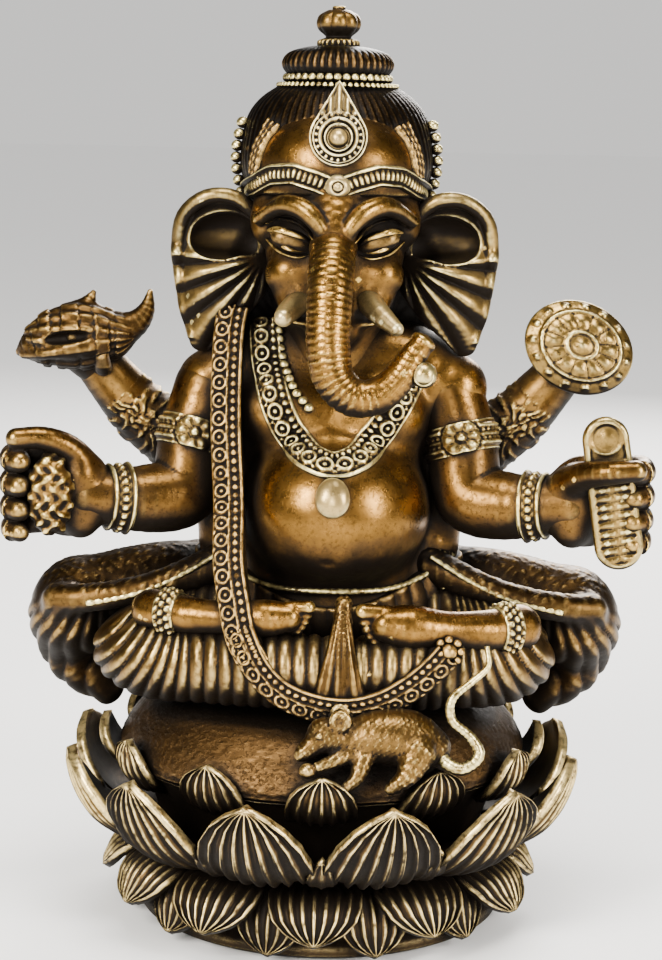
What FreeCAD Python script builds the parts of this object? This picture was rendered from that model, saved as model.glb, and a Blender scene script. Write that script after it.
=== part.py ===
"""A seated four-armed elephant-headed deity on a round lotus pedestal, as a bench assembly of castings.

Units are millimetres, +Z is up, and the figure faces -Y. The origin is the centre of the flat
underside, so the figure's own right hand is on the -X side. Every casting is a node of its own:
the pedestal and its three rings of petals, the cushions, the body, limbs, ornaments and hardware.
"""
import FreeCAD
import Part

import math
import os

V = FreeCAD.Vector
UP = V(0, 0, 1)
RIGHT, LEFT = -1, 1                      # the figure's own sides, as signs of X
SIDES = {"right": RIGHT, "left": LEFT}

# ---------------------------------------------------------------- driving dimensions
PETALS = 12                              # petals in each ring
PETAL_STEP = 360.0 / PETALS

FELT_R, FELT_T = 48.0, 1.5
FOOT_R, FOOT_Z = 51.0, 5.0               # pedestal foot
WAIST_R, WAIST_Z = 45.0, 21.5            # narrowest ring between the petal rows
RIM_R, RIM_Z = 56.0, 46.0                # upper edge of the pedestal core
OUTER_TIP_R, OUTER_TIP_Z = 74.0, 48.7    # tips of the large petals
INNER_TIP_R, INNER_TIP_Z = 62.0, 54.5    # tips of the small petals
LOWER_TIP_R, LOWER_TIP_Z = 60.5, 6.5     # tips of the hanging petals

SEAT_Z, SEAT_R = 63.5, 43.0              # top of the domed seat
STUD_R, STUD_GAP = 3.0, 0.1              # threaded stud that clamps figure to pedestal
NUT_R, NUT_T = 6.0, 5.0
RECESS_R, RECESS_Z = 9.0, 18.0           # pocket under the pedestal for the nut

BODY_X = 1.5                             # the trunk of the body leans a little to its left
HEAD_X = 0.8
NECK_Z = 160.0                           # joint between body and head
CROWN_Z = 203.0                          # lower edge of the crown
CROWN_RX, CROWN_RY = 24.0, 23.0
CROWN_Y = -5.0
TOP_Z = 254.6                            # tip of the finial
DOWEL_R = 2.0                            # steel pins between castings
BOLSTER_Z = 81.0                         # height of the rolled cloth behind the legs


# ---------------------------------------------------------------- shape helpers
def vec(p):
    return p if isinstance(p, FreeCAD.Vector) else V(*p)


def ball(centre, r):
    return Part.makeSphere(r, vec(centre))


def egg(centre, rx, ry, rz, turn_z=0.0, tilt_y=0.0):
    """An ellipsoid, tilted about Y and then turned about Z."""
    m = FreeCAD.Matrix()
    m.scale(rx, ry, rz)
    body = Part.makeSphere(1.0).transformGeometry(m)
    body.rotate(V(0, 0, 0), V(0, 1, 0), tilt_y)
    body.rotate(V(0, 0, 0), UP, turn_z)
    body.translate(vec(centre))
    return body


def rod(a, b, r):
    a, b = vec(a), vec(b)
    return Part.makeCylinder(r, (b - a).Length, a, b - a)


def ring(centre, axis, big_r, small_r):
    return Part.makeTorus(big_r, small_r, vec(centre), vec(axis))


def stack(sections):
    """A loft through level ellipses, each (z, centre x, centre y, rx, ry)."""
    wires = []
    for z, cx, cy, rx, ry in sections:
        around = [math.radians(30 * i) for i in range(12)]
        oval = Part.BSplineCurve()
        oval.interpolate([V(cx + rx * math.sin(a), cy + ry * math.cos(a), z) for a in around],
                         PeriodicFlag=True)
        wires.append(Part.Wire([oval.toShape()]))
    return Part.makeLoft(wires, True, False)


def limb(points, radii, cap=0.55):
    """A round limb lofted along points, closed by a blunt rounded cap at both ends."""
    pts = [vec(p) for p in points]
    lead, trail = (pts[1] - pts[0]).normalize(), (pts[-1] - pts[-2]).normalize()
    spots = [(pts[0] - lead * radii[0] * cap, radii[0] * 0.5, lead)]
    spots.append((pts[0] - lead * radii[0] * cap * 0.6, radii[0] * 0.83, lead))
    for i, p in enumerate(pts):
        back = pts[i] - pts[i - 1] if i else lead
        ahead = pts[i + 1] - pts[i] if i < len(pts) - 1 else trail
        way = (V(back).normalize() + V(ahead).normalize()).normalize()
        spots.append((p, radii[i], way))
    spots.append((pts[-1] + trail * radii[-1] * cap * 0.6, radii[-1] * 0.83, trail))
    spots.append((pts[-1] + trail * radii[-1] * cap, radii[-1] * 0.5, trail))
    wires = [Part.Wire([Part.Circle(p, way, r).toShape()]) for p, r, way in spots]
    return Part.makeLoft(wires, True, False)


def turned(profile):
    """A solid of revolution about Z; profile is a closed outline of (r, z) points."""
    pts = [V(r, 0, z) for r, z in profile]
    face = Part.Face(Part.makePolygon(pts + [pts[0]]))
    return face.revolve(V(0, 0, 0), UP, 360)


def fuse(*shapes):
    out = shapes[0].multiFuse(list(shapes[1:]))
    return out.removeSplitter()


def leaf(outline, reach):
    """A radial prism over a symmetric outline of (half width, z), pointing along -Y."""
    right = [V(w, 0, z) for w, z in outline]
    left = [V(-p.x, 0, p.z) for p in reversed(right)]
    one, other = Part.BSplineCurve(), Part.BSplineCurve()
    one.interpolate(right)
    other.interpolate(left)
    foot = Part.LineSegment(left[-1], right[0])
    wire = Part.Wire([one.toShape(), other.toShape(), foot.toShape()])
    return Part.Face(wire).extrude(V(0, -reach, 0))


def petal_ring(outer_arc, thickness, outline, first_deg):
    """A ring of curved petals: a bowl-shaped shell cut by a leaf outline, then copied round."""
    a, b, c = (V(r, 0, z) for r, z in outer_arc)
    arc = Part.Arc(a, b, c)
    centre = arc.toShape().Curve.Center
    inner = [centre + (p - centre) * (1 - thickness / (p - centre).Length) for p in (a, b, c)]
    back = Part.Arc(inner[2], inner[1], inner[0])
    edges = [arc, Part.LineSegment(c, inner[2]), back, Part.LineSegment(inner[0], a)]
    face = Part.Face(Part.Wire([e.toShape() for e in edges]))
    shell = face.revolve(V(0, 0, 0), UP, PETAL_STEP * 1.6)
    shell.rotate(V(0, 0, 0), UP, -90 - PETAL_STEP * 0.8)
    one = shell.common(leaf(outline, OUTER_TIP_R + 20)).Solids[0]
    ring_of = []
    for i in range(PETALS):
        copy = one.copy()
        copy.rotate(V(0, 0, 0), UP, first_deg + i * PETAL_STEP)
        ring_of.append(copy)
    return ring_of


def beads_on(points, r):
    return [ball(p, r) for p in points]


def arc_points(centre, rx, ry, from_deg, to_deg, count, rise=0.0):
    """Points on a level ellipse; 0 degrees is the front (-Y), and rise lifts the two ends."""
    out = []
    for i in range(count):
        share = i / (count - 1.0)
        a = math.radians(from_deg + (to_deg - from_deg) * share)
        lift = rise * (2 * share - 1) ** 2
        out.append(V(centre[0] + rx * math.sin(a), centre[1] - ry * math.cos(a), centre[2] + lift))
    return out


def mirror(shape, side):
    """The shape as modelled for the left side, or its mirror image for the right side."""
    return shape if side == LEFT else shape.mirror(V(0, 0, 0), V(1, 0, 0))


def largest(shape):
    return max(shape.Solids, key=lambda s: s.Volume)


def solids_of(item):
    if isinstance(item, list):
        return [s for part in item for s in part.Solids]
    return item.Solids


def seat_into(shape, *others):
    """The shape with room cut out of it for each neighbour that reaches into it."""
    for other in others:
        for solid in solids_of(other):
            if shape.BoundBox.intersect(solid.BoundBox):
                shape = largest(shape.cut(solid))
    return shape


# ---------------------------------------------------------------- pedestal
def make_pedestal(nodes):
    nodes["felt_pad"] = Part.makeCylinder(FELT_R, FELT_T)
    core = turned([
        (0, FELT_T), (FOOT_R, FELT_T), (FOOT_R, FOOT_Z), (FOOT_R - 3.5, 9.0), (WAIST_R + 0.5, WAIST_Z - 2),
        (WAIST_R, WAIST_Z), (WAIST_R + 1.5, WAIST_Z + 5), (50.0, 38.0), (RIM_R, RIM_Z - 1), (RIM_R, RIM_Z),
        (0, RIM_Z),
    ])
    core = core.cut(Part.makeCylinder(RECESS_R, RECESS_Z - FELT_T, V(0, 0, FELT_T)))
    core = core.cut(Part.makeCylinder(STUD_R + STUD_GAP, RIM_Z, V(0, 0, 0)))
    outer = petal_ring(
        [(44.5, 22.5), (63.5, 30.5), (OUTER_TIP_R, OUTER_TIP_Z)], 3.2,
        [(10.2, 20.0), (15.3, 31.0), (14.6, 38.0), (8.6, 44.8), (0.0, OUTER_TIP_Z)], PETAL_STEP / 2)
    inner = petal_ring(
        [(52.0, 39.0), (59.8, 45.5), (INNER_TIP_R, INNER_TIP_Z)], 2.4,
        [(9.0, 36.0), (11.8, 45.0), (10.5, 49.0), (6.0, 52.6), (0.0, INNER_TIP_Z)], 0.0)
    lower = petal_ring(
        [(44.5, 20.5), (56.0, 15.5), (LOWER_TIP_R, LOWER_TIP_Z)], 3.0,
        [(9.6, 24.0), (12.8, 16.0), (12.2, 12.0), (7.0, 8.2), (0.0, LOWER_TIP_Z)], 0.0)
    waist = ring((0, 0, WAIST_Z), UP, WAIST_R + 1.6, 1.1)
    cut_ring = Part.makeTorus(WAIST_R + 1.6, 1.15, V(0, 0, WAIST_Z), UP)
    outer = [largest(p.cut(cut_ring)) for p in outer]
    lower = [largest(p.cut(cut_ring)) for p in lower]
    nodes["waist_ring"] = waist
    nodes["outer_petals"] = outer
    nodes["inner_petals"] = inner
    nodes["lower_petals"] = lower
    nodes["base_body"] = seat_into(core, waist, outer, inner, lower)
    seat = turned([(0, RIM_Z), (RIM_R, RIM_Z), (54.0, 50.0), (50.5, 56.0), (SEAT_R + 3, 61.5),
                   (SEAT_R, SEAT_Z), (0, SEAT_Z)])
    seat = seat.cut(Part.makeCylinder(STUD_R + STUD_GAP, SEAT_Z, V(0, 0, 0)))
    nodes["seat_cushion"] = seat_into(seat, inner)


def make_fixing(nodes):
    """The stud runs from the nut in the pedestal's pocket up into the body."""
    stud_top, washer_t = 84.0, 1.2
    stud_foot = RECESS_Z - NUT_T - washer_t - 3
    nodes["fixing_stud"] = Part.makeCylinder(STUD_R, stud_top - stud_foot, V(0, 0, stud_foot))
    washer = Part.makeCylinder(NUT_R + 1.5, washer_t, V(0, 0, RECESS_Z - washer_t))
    nodes["fixing_washer"] = washer.cut(Part.makeCylinder(STUD_R + 0.1, 40))
    corners = [V(NUT_R * math.cos(math.radians(60 * i)), NUT_R * math.sin(math.radians(60 * i)), 0)
               for i in range(6)]
    nut = Part.Face(Part.makePolygon(corners + [corners[0]])).extrude(V(0, 0, NUT_T))
    nut.translate(V(0, 0, RECESS_Z - washer_t - NUT_T))
    nodes["fixing_nut"] = nut.cut(Part.makeCylinder(STUD_R + 0.02, 40))


# ---------------------------------------------------------------- lower body
def make_lap(nodes):
    """Crossed legs in pleated cloth, feet, anklets, the cloth fall between them and the bolster."""
    shins = {
        "right": limb([(-43, -20, 75.5), (-30, -31, 75), (-12, -38, 74.5), (1, -40.5, 74.5)],
                      [12, 11.5, 10.3, 9]),
        "left": limb([(45, -20, 76.5), (36, -30, 76), (22, -37, 75.5), (12.5, -40, 75.5)],
                     [12.5, 12, 10.8, 9]),
    }
    for name, side in SIDES.items():
        knee = egg((side * 44, -19, 76), 19.5, 18.0, 12.4, turn_z=side * 24)
        thigh = mirror(limb([(17, 3, 80), (34, -6, 79), (46, -15, 77)], [14, 14, 12]), side)
        nodes[name + "_leg"] = fuse(knee, thigh, shins[name])
    right_foot = limb([(-45, -31, 89.5), (-30, -37.5, 91), (-14, -41, 92.5), (-3, -42.5, 93.2)],
                      [5.0, 5.2, 4.6, 3.4])
    left_foot = limb([(50, -31.5, 88.5), (38, -38, 89.5), (23, -42, 90.5), (12.5, -43.5, 92.5)],
                     [6.0, 6.4, 5.8, 4.4])
    nodes["right_foot"], nodes["left_foot"] = right_foot, left_foot
    nodes["right_anklet"] = ring((-38.5, -34.0, 90.2), (15, -6.5, 1.5), 6.1, 1.3)
    nodes["left_anklet"] = ring((44.5, -34.8, 89.0), (-12, -6.5, 1), 7.3, 1.4)
    fall = stack([(66.0, 9.0, -50.5, 2.0, 1.2), (72.0, 8.6, -51.6, 4.2, 1.8),
                  (84.0, 6.4, -50.4, 4.0, 2.0), (95.5, 5.0, -45.0, 6.0, 2.2)])
    nodes["front_pleat"] = fall
    half = [(84.2, 3, 6), (81.5, 2, 12.5), (76, 1.5, 16.2), (68, 3, 17.0), (56, 7, 15.4), (40, 14, 15.2),
            (20, 21, 15.8)]
    spots = [(-x, y, r) for x, y, r in half] + [(0, 23, 16)] + [(x, y, r) for x, y, r in reversed(half)]
    wires = [Part.Wire([Part.Circle(V(x, y, BOLSTER_Z), V(1, 0, 0), r).toShape()]) for x, y, r in spots]
    nodes["bolster"] = Part.makeLoft(wires, True, False)


def make_torso(nodes):
    x = BODY_X
    nodes["torso"] = stack([
        (SEAT_Z, x, 2, 27, 22), (80, x, 1, 30, 24), (92, x, -4, 29, 27), (104, x, -7.5, 27.5, 29.5),
        (118, x, -8.5, 27.5, 29.0), (130, x, -6.5, 28.5, 25), (140, x, -3, 33, 20), (147, x, -0.5, 34, 17),
        (153, HEAD_X, -1, 28, 15), (NECK_Z, HEAD_X, -4, 15.5, 13),
    ])
    nodes["hip_belt"] = ring_around((x + 1.5, -4, 95.0), 31.0, 30.0, 1.5, drop=-5.0)


def ring_around(centre, rx, ry, r, drop=0.0, count=24):
    """A closed oval cord; drop lowers its front and lifts its back."""
    pts = []
    for i in range(count):
        a = 2 * math.pi * i / count
        pts.append(V(centre[0] + rx * math.sin(a), centre[1] - ry * math.cos(a),
                     centre[2] + drop * math.cos(a)))
    path = Part.BSplineCurve()
    path.interpolate(pts, PeriodicFlag=True)
    wire = Part.Wire([path.toShape()])
    start, way = pts[0], path.tangent(0)[0]
    section = Part.Wire([Part.Circle(start, way, r).toShape()])
    return wire.makePipeShell([section], True, True)


# ---------------------------------------------------------------- arms and hands
ELBOW_FRONT = (39.0, -11.0, 119.5)
WRIST_FRONT = (62.0, -21.0, 121.0)
ELBOW_REAR = (52.0, 7.0, 139.0)
WRIST_REAR = (64.5, 3.5, 153.0)


def make_arms(nodes):
    for name, side in SIDES.items():
        front = limb([(32, -4, 143), (36, -7, 131), ELBOW_FRONT, (50, -16.5, 119.5), WRIST_FRONT],
                     [10.5, 10.0, 9.6, 8.8, 7.4], cap=0.5)
        rear = limb([(30, 6, 127), (41, 7.5, 131.5), ELBOW_REAR, WRIST_REAR], [9.5, 9.0, 8.3, 6.6],
                    cap=0.4)
        nodes[name + "_front_arm"] = mirror(front, side)
        nodes[name + "_rear_arm"] = mirror(rear, side)
        upper = V(36.2, -7.6, 131.5)
        nodes[name + "_armlet"] = mirror(band(upper, V(3, -3.5, -24), 10.2, 12.0, 7.0), side)
        wrist = V(57.0, -18.8, 120.3)
        nodes[name + "_bracelet"] = mirror(band(wrist, V(23, -10, 1.5), 7.9, 9.7, 5.6), side)


def band(centre, axis, inner_r, outer_r, width):
    """A plain tube round a limb."""
    axis = V(axis).normalize()
    start = centre - axis * (width / 2)
    tube = Part.makeCylinder(outer_r, width, start, axis)
    return tube.cut(Part.makeCylinder(inner_r, width + 2, start - axis, axis))


def make_hands(nodes):
    """Fists: a palm, four curled fingers and a thumb, each fused into one casting."""
    palm = limb([(70.5, -24.5, 115.5), (71.5, -25.0, 123.0), (71.0, -24.5, 130.5)], [6.2, 7.6, 6.4], cap=0.7)
    grip = [limb([(74, -29.5, z), (82.5, -29.0, z + 0.2), (86.2, -24.5, z)], [3.1, 3.2, 3.0], cap=0.8)
            for z in (132.6, 126.4, 120.2, 114.4)]
    heel = limb([(62, -21.5, 121), (69, -24, 122.5)], [7.2, 7.6])
    thumb = limb([(68, -28, 129.5), (74, -31.5, 134.0), (79, -32, 134.5)], [3.4, 3.0, 2.6], cap=0.8)
    front = fuse(palm, heel, thumb, *grip)
    for name, side in SIDES.items():
        nodes[name + "_front_hand"] = mirror(front, side)
    rear_palm = limb([(65, 3.2, 153.6), (68.5, 2.0, 158.5), (71.5, 1.0, 163.5)], [6.3, 7.0, 6.0], cap=0.6)
    curled = [limb([(63 + 5.2 * i, -3.2, 151.5 + 3.2 * i), (66.0 + 5.2 * i, -5.6, 155.5 + 3.2 * i)],
                   [2.7, 2.4], cap=0.8) for i in range(3)]
    rear = fuse(rear_palm, *curled)
    for name, side in SIDES.items():
        nodes[name + "_rear_hand"] = mirror(rear, side)


def make_held_things(nodes):
    nodes["sweet_ball"] = egg((-72.0, -32.0, 124.0), 7.8, 6.0, 10.0)
    nodes["palm_leaf"] = egg((77.0, -33.5, 126.0), 6.6, 3.0, 21.5, tilt_y=-9)
    shell = fuse(
        limb([(-84.0, -5, 158.5), (-76.5, -4.5, 161.5), (-68, -3.5, 165.0), (-60, -2.5, 167)],
             [2.2, 6.0, 7.6, 6.2]),
        limb([(-63, -3, 167), (-55.5, -3, 170.5), (-51, -3, 173)], [4.6, 3.2, 1.2]))
    nodes["conch"] = shell
    disc = stack([(-4.5, 0, 0, 9.0, 7.5), (-1.5, 0, 0, 15.0, 12.6), (1.2, 0, 0, 15.3, 12.9), (4.2, 0, 0, 9.5, 8.0)])
    disc.rotate(V(0, 0, 0), V(1, 0, 0), 72)
    disc.rotate(V(0, 0, 0), V(0, 1, 0), 24)
    disc.translate(V(68.8, -8.0, 163.4))
    nodes["lotus_disc"] = disc


# ---------------------------------------------------------------- head
def make_head(nodes):
    x = HEAD_X
    nodes["head"] = stack([
        (NECK_Z, x, -5, 13.0, 13.0), (166, x, -8, 15.0, 15.5), (174, x, -10, 17.2, 18.0),
        (184, x, -9.5, 19.2, 21.0), (194, x, -8.2, 20.8, 22.8), (CROWN_Z, x, -7, 21.8, 23.4),
    ])
    trunk = [(0.4, -28.5, 194), (0.0, -37.5, 188), (-0.4, -43.0, 177), (-0.4, -46.5, 165.5), (1.8, -47.5, 156.6),
             (7.6, -47.5, 152.4), (14.2, -47.0, 154.6), (19.2, -46.5, 159.5), (22.6, -46.0, 165.0)]
    nodes["trunk"] = limb(trunk, [7.0, 7.2, 6.7, 6.0, 5.5, 5.0, 4.4, 3.8, 3.2])
    nodes["trunk_sweet"] = ball((24.6, -47.5, 158.0), 3.2)
    nodes["right_tusk"] = limb([(-9.5, -26, 174.5), (-11.0, -31.0, 172.8), (-11.3, -34.0, 172.2)], [3.0, 2.6, 2.2])
    nodes["left_tusk"] = limb([(10.5, -26, 175), (13.0, -32.0, 172.5), (16.0, -37.5, 170.2)], [3.0, 2.7, 1.7])
    for name, side in SIDES.items():
        nodes[name + "_ear"] = mirror(make_ear(), side)


def make_ear():
    """A broad flap: an outline in the front plane, with thickness, swept a little back."""
    rim = [(19, 0, 199), (27, 0, 203.5), (36, 0, 201.8), (42.5, 0, 194.5), (43.4, 0, 184), (41.6, 0, 172),
           (38.8, 0, 162), (33.5, 0, 160.2), (27.5, 0, 168), (21, 0, 176), (17.5, 0, 186)]
    curve = Part.BSplineCurve()
    curve.interpolate([V(*p) for p in rim], PeriodicFlag=True)
    plate = Part.Face(Part.Wire([curve.toShape()])).extrude(V(0, 5.5, 0))
    plate.translate(V(0, -9.5, 0))
    plate.rotate(V(18, -7, 0), UP, 10)
    return plate


def make_crown(nodes):
    x, y = HEAD_X, CROWN_Y
    rx, ry = CROWN_RX, CROWN_RY
    shell = stack([(CROWN_Z + 4, x, y, rx - 0.6, ry + 0.6), (212, x, y, rx, ry + 0.6),
                   (218, x, y, rx - 0.4, ry - 0.6), (225, x, y, rx - 3, ry - 3.5)])
    nodes["crown_band"] = shell
    nodes["crown_cap"] = stack([(225, x, y + 2, rx + 0.5, ry - 1), (229, x, y + 2.6, rx - 2.6, ry - 3.5),
                                (232.5, x, y + 3.8, rx - 7, ry - 7), (235, x, y + 5, 14.0, 13.5)])
    top = V(x - 0.2, y + 6, 0)
    ring_r = 13.2
    beads = beads_on(arc_points((top.x, top.y, 235.9), ring_r, ring_r, 0, 360 * 27 / 28.0, 28), 1.35)
    nodes["crown_disc"] = stack([(235.0, top.x, top.y, 11.6, 11.6), (237.6, top.x, top.y, 14.6, 14.6),
                                 (240.2, top.x, top.y, 15.0, 15.0), (242.2, top.x, top.y, 11.5, 11.5),
                                 (243.4, top.x, top.y, 5.5, 5.5)])
    knob = turned([(0, 243.4), (4.6, 243.4), (4.9, 244.5), (3.6, 245.6), (4.3, 246.6), (5.8, 249.2), (5.4, 251.8),
                   (3.0, 253.6), (0, TOP_Z)])
    knob.translate(V(top.x, top.y, 0))
    nodes["finial"] = knob
    for side in SIDES.values():
        for k in range(7):
            a = math.radians(-8 + 14.5 * k)
            beads.append(ball((x + side * (rx + 2.2 + 1.2 * math.cos(a)), y + 7.5,
                               CROWN_Z + 2.5 + 3.3 * k), 1.6))
    nodes["crown_beads"] = beads
    plate = leaf([(2.0, 211.0), (6.8, 214.4), (7.8, 219.4), (5.6, 225.2), (2.2, 230.2), (0.0, 233.6)], 40)
    shell_out = egg((x, y + 1, 214), rx + 3.2, ry + 3.4, 24)
    nodes["forehead_jewel"] = largest(plate.common(shell_out))
    nodes["headband"] = stack([(CROWN_Z, x, y, rx + 0.4, ry + 1.4), (CROWN_Z + 2, x, y, rx + 1.6, ry + 2.6),
                               (CROWN_Z + 4, x, y, rx + 0.7, ry + 1.7)])
    nodes["headband_bead"] = ball((x + 0.4, y - ry - 3.2, 205.4), 3.2)


# ---------------------------------------------------------------- ornaments
def ribbon(points, width, thickness):
    """A flat ribbon hung along points, facing -Y, as a loft of small upright plates."""
    wires = []
    pts = [vec(p) for p in points]
    for i, p in enumerate(pts):
        way = (pts[min(i + 1, len(pts) - 1)] - pts[max(i - 1, 0)]).normalize()
        front = V(0, -1, 0)
        across = way.cross(front).normalize()
        out = across.cross(way).normalize()
        a, b = across * (width / 2), out * (thickness / 2)
        corners = [p - a - b, p + a - b, p + a + b, p - a + b]
        wires.append(Part.makePolygon(corners + [corners[0]]))
    return Part.makeLoft(wires, True, True)


GARLAND = [(-27, -17.5, 160), (-27.5, -22.0, 148), (-26.8, -25.5, 136), (-26.0, -28.0, 124), (-26.2, -31.5, 112),
           (-25.8, -37.5, 101), (-23.8, -44.5, 92), (-20.5, -48.2, 83), (-14.0, -50.5, 75.0), (-4.0, -52.5, 69.6),
           (6.0, -53.5, 68.2), (15.5, -52.6, 70.6), (24.0, -50.6, 76.4), (31.0, -48.2, 82.4)]
NECKLACE = [(-17.5, -19, 167), (-16.8, -27, 157), (-14, -33.4, 148), (-9.8, -36.4, 140), (-3.5, -38.2, 134.5),
            (2.4, -38.8, 133.2), (8.0, -38.0, 135.6), (12.8, -36.0, 140.5), (17.2, -32.0, 147), (21, -25, 154)]
INNER_STRING = [(-13.5, -21, 166), (-12.4, -28, 159), (-9.0, -32.5, 151.5), (-5.0, -34.4, 146.0)]


def make_ornaments(nodes):
    nodes["garland"] = ribbon(GARLAND, 8.4, 2.2)
    nodes["necklace"] = ribbon(NECKLACE, 7.4, 2.0)
    nodes["inner_necklace"] = beads_on(chain(INNER_STRING, 2.9), 1.4)
    nodes["pendant"] = egg((1.6, -40.2, 127.0), 3.6, 2.2, 3.8)
    nodes["hem_beads"] = beads_on(chain([(34, -27, 104), (36, -31.5, 98), (38.5, -35.5, 93.5)], 2.9), 1.4)


def chain(points, step):
    """Points at an even step along a polyline."""
    pts = [vec(p) for p in points]
    out, spare = [pts[0]], step
    for a, b in zip(pts, pts[1:]):
        length = (b - a).Length
        while spare <= length:
            out.append(a + (b - a) * (spare / length))
            spare += step
        spare -= length
    return out


# ---------------------------------------------------------------- mouse
def make_mouse(nodes):
    body = limb([(-4.6, -57.0, 59.4), (-0.5, -55.4, 62.4), (4.0, -53.6, 64.0), (9.5, -52.4, 62.0),
                 (16.0, -51.6, 61.8), (23.0, -51.2, 61.0), (28.0, -50.8, 60.4)],
                [1.6, 3.6, 4.6, 5.2, 6.4, 6.6, 4.6])
    ears = [ball((4.6, y, 68.8), 2.3) for y in (-56.6, -51.0)]
    legs = [limb([(10.0, -55.4, 59.0), (6.6, -59.2, 52.8)], [2.4, 1.7], cap=0.8),
            limb([(23.0, -55.4, 58.5), (20.4, -58.8, 52.6)], [3.2, 2.0], cap=0.8)]
    nodes["mouse"] = fuse(body, *ears, *legs)
    nodes["mouse_tail"] = limb(
        [(30.0, -50.6, 60.2), (33.4, -53.4, 56.8), (37.4, -54.8, 56.0), (41.0, -54.0, 59.6), (38.6, -52.8, 64.2),
         (33.6, -52.4, 68.6), (33.4, -52.4, 74.2), (38.6, -51.0, 78.4), (43.0, -48.6, 82.0), (42.6, -47.2, 86.2)],
        [2.2, 1.9, 1.8, 1.6, 1.5, 1.4, 1.2, 1.1, 1.0, 0.8])


# ---------------------------------------------------------------- fitting the castings together
def dowels():
    """Steel pins across the neck and the four shoulders."""
    pins = [rod((HEAD_X, -4, 152), (HEAD_X, -4, 174), DOWEL_R * 1.5)]
    for side in SIDES.values():
        pins.append(rod((side * 20, -3, 143), (side * 36, -5, 141), DOWEL_R))
        pins.append(rod((side * 20, 5, 127), (side * 36, 6.5, 129), DOWEL_R))
    return pins


CUT_ORDER = {
    # casting: the neighbours that keep their shape where the two meet
    "torso": ["right_front_arm", "left_front_arm", "right_rear_arm", "left_rear_arm", "hip_belt",
              "right_leg", "left_leg", "bolster", "fixing_stud", "necklace", "garland", "seat_cushion",
              "inner_necklace", "pendant"],
    "bolster": ["right_leg", "left_leg", "seat_cushion", "hip_belt"],
    "right_leg": ["right_foot", "right_anklet", "garland", "front_pleat", "seat_cushion", "hip_belt"],
    "left_leg": ["left_foot", "left_anklet", "garland", "front_pleat", "seat_cushion", "hip_belt", "right_leg",
                 "mouse_tail", "hem_beads"],
    "right_foot": ["right_anklet", "garland", "front_pleat", "left_foot"],
    "left_foot": ["left_anklet", "garland", "front_pleat", "hem_beads"],
    "head": ["trunk", "right_tusk", "left_tusk", "right_ear", "left_ear",
             "necklace", "inner_necklace"],
    "crown_band": ["forehead_jewel", "headband_bead"],
    "crown_cap": ["crown_beads", "crown_disc", "forehead_jewel"],
    "crown_disc": ["finial", "crown_beads"],
    "headband": ["headband_bead", "crown_beads", "forehead_jewel"],
    "trunk": ["right_tusk", "left_tusk", "trunk_sweet", "necklace", "inner_necklace"],
    "garland": ["front_pleat", "mouse", "mouse_tail", "hip_belt", "right_anklet", "right_rear_arm"],
    "necklace": ["trunk_sweet", "pendant", "inner_necklace"],
    "hip_belt": ["front_pleat", "right_foot", "left_foot", "hem_beads"],
    "front_pleat": ["mouse"],
    "mouse": ["seat_cushion", "mouse_tail", "inner_petals"],
    "right_front_arm": ["right_armlet", "right_bracelet", "right_front_hand", "right_rear_arm", "garland"],
    "left_front_arm": ["left_armlet", "left_bracelet", "left_front_hand", "left_rear_arm"],
    "right_rear_arm": ["right_rear_hand", "right_armlet"],
    "left_rear_arm": ["left_rear_hand", "left_armlet"],
    "right_front_hand": ["sweet_ball", "right_bracelet"],
    "left_front_hand": ["palm_leaf", "left_bracelet"],
    "right_rear_hand": ["conch"],
    "left_rear_hand": ["lotus_disc"],
    "right_ear": ["crown_band", "headband", "crown_beads"],
    "left_ear": ["crown_band", "headband", "crown_beads"],
}


def fit_together(nodes):
    pins = dowels()
    for name, neighbours in CUT_ORDER.items():
        shape = nodes[name]
        shape = largest(shape) if not isinstance(shape, list) else shape
        for other in neighbours:
            shape = seat_into(shape, nodes[other])
        nodes[name] = shape
    for name in ("torso", "head", "right_front_arm", "left_front_arm", "right_rear_arm", "left_rear_arm"):
        nodes[name] = seat_into(nodes[name], pins)
    nodes["joining_dowels"] = pins


def write(nodes):
    os.makedirs("parts", exist_ok=True)
    for name, item in nodes.items():
        solids = solids_of(item)
        shape = solids[0] if len(solids) == 1 else Part.makeCompound(solids)
        if not shape.isValid():
            print("not valid:", name)
        shape.exportStep("parts/" + name + ".step")


def main():
    nodes = {}
    make_pedestal(nodes)
    make_fixing(nodes)
    make_lap(nodes)
    make_torso(nodes)
    make_arms(nodes)
    make_hands(nodes)
    make_held_things(nodes)
    make_head(nodes)
    make_crown(nodes)
    make_ornaments(nodes)
    make_mouse(nodes)
    fit_together(nodes)
    write(nodes)
    print(len(nodes), "nodes")


main()
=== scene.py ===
"""The looks of a seated, four-armed, elephant-headed deity on a lotus pedestal, cast in antiqued brass.

Every casting is sculpted here from smooth distance fields, in millimetres in the CAD frame: +Z is up and
the figure faces -Y. The ornaments are relief strips, beads and cords laid on those fields.
"""
import math

import bpy
import numpy as np
from mathutils import Matrix, Vector


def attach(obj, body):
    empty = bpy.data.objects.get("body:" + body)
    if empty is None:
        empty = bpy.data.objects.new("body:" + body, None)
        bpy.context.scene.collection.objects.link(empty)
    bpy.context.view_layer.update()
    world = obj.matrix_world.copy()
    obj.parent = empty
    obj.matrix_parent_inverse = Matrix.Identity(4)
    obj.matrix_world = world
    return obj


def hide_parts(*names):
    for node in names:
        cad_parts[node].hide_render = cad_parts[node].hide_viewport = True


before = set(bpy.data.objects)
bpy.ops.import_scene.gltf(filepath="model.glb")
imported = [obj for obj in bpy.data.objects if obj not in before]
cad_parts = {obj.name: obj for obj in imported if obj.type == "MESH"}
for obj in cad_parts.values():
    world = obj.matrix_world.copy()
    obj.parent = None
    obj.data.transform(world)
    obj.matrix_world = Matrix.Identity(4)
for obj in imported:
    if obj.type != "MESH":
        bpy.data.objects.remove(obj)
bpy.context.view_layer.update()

MM = 0.001
COARSE = 1.0
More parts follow.
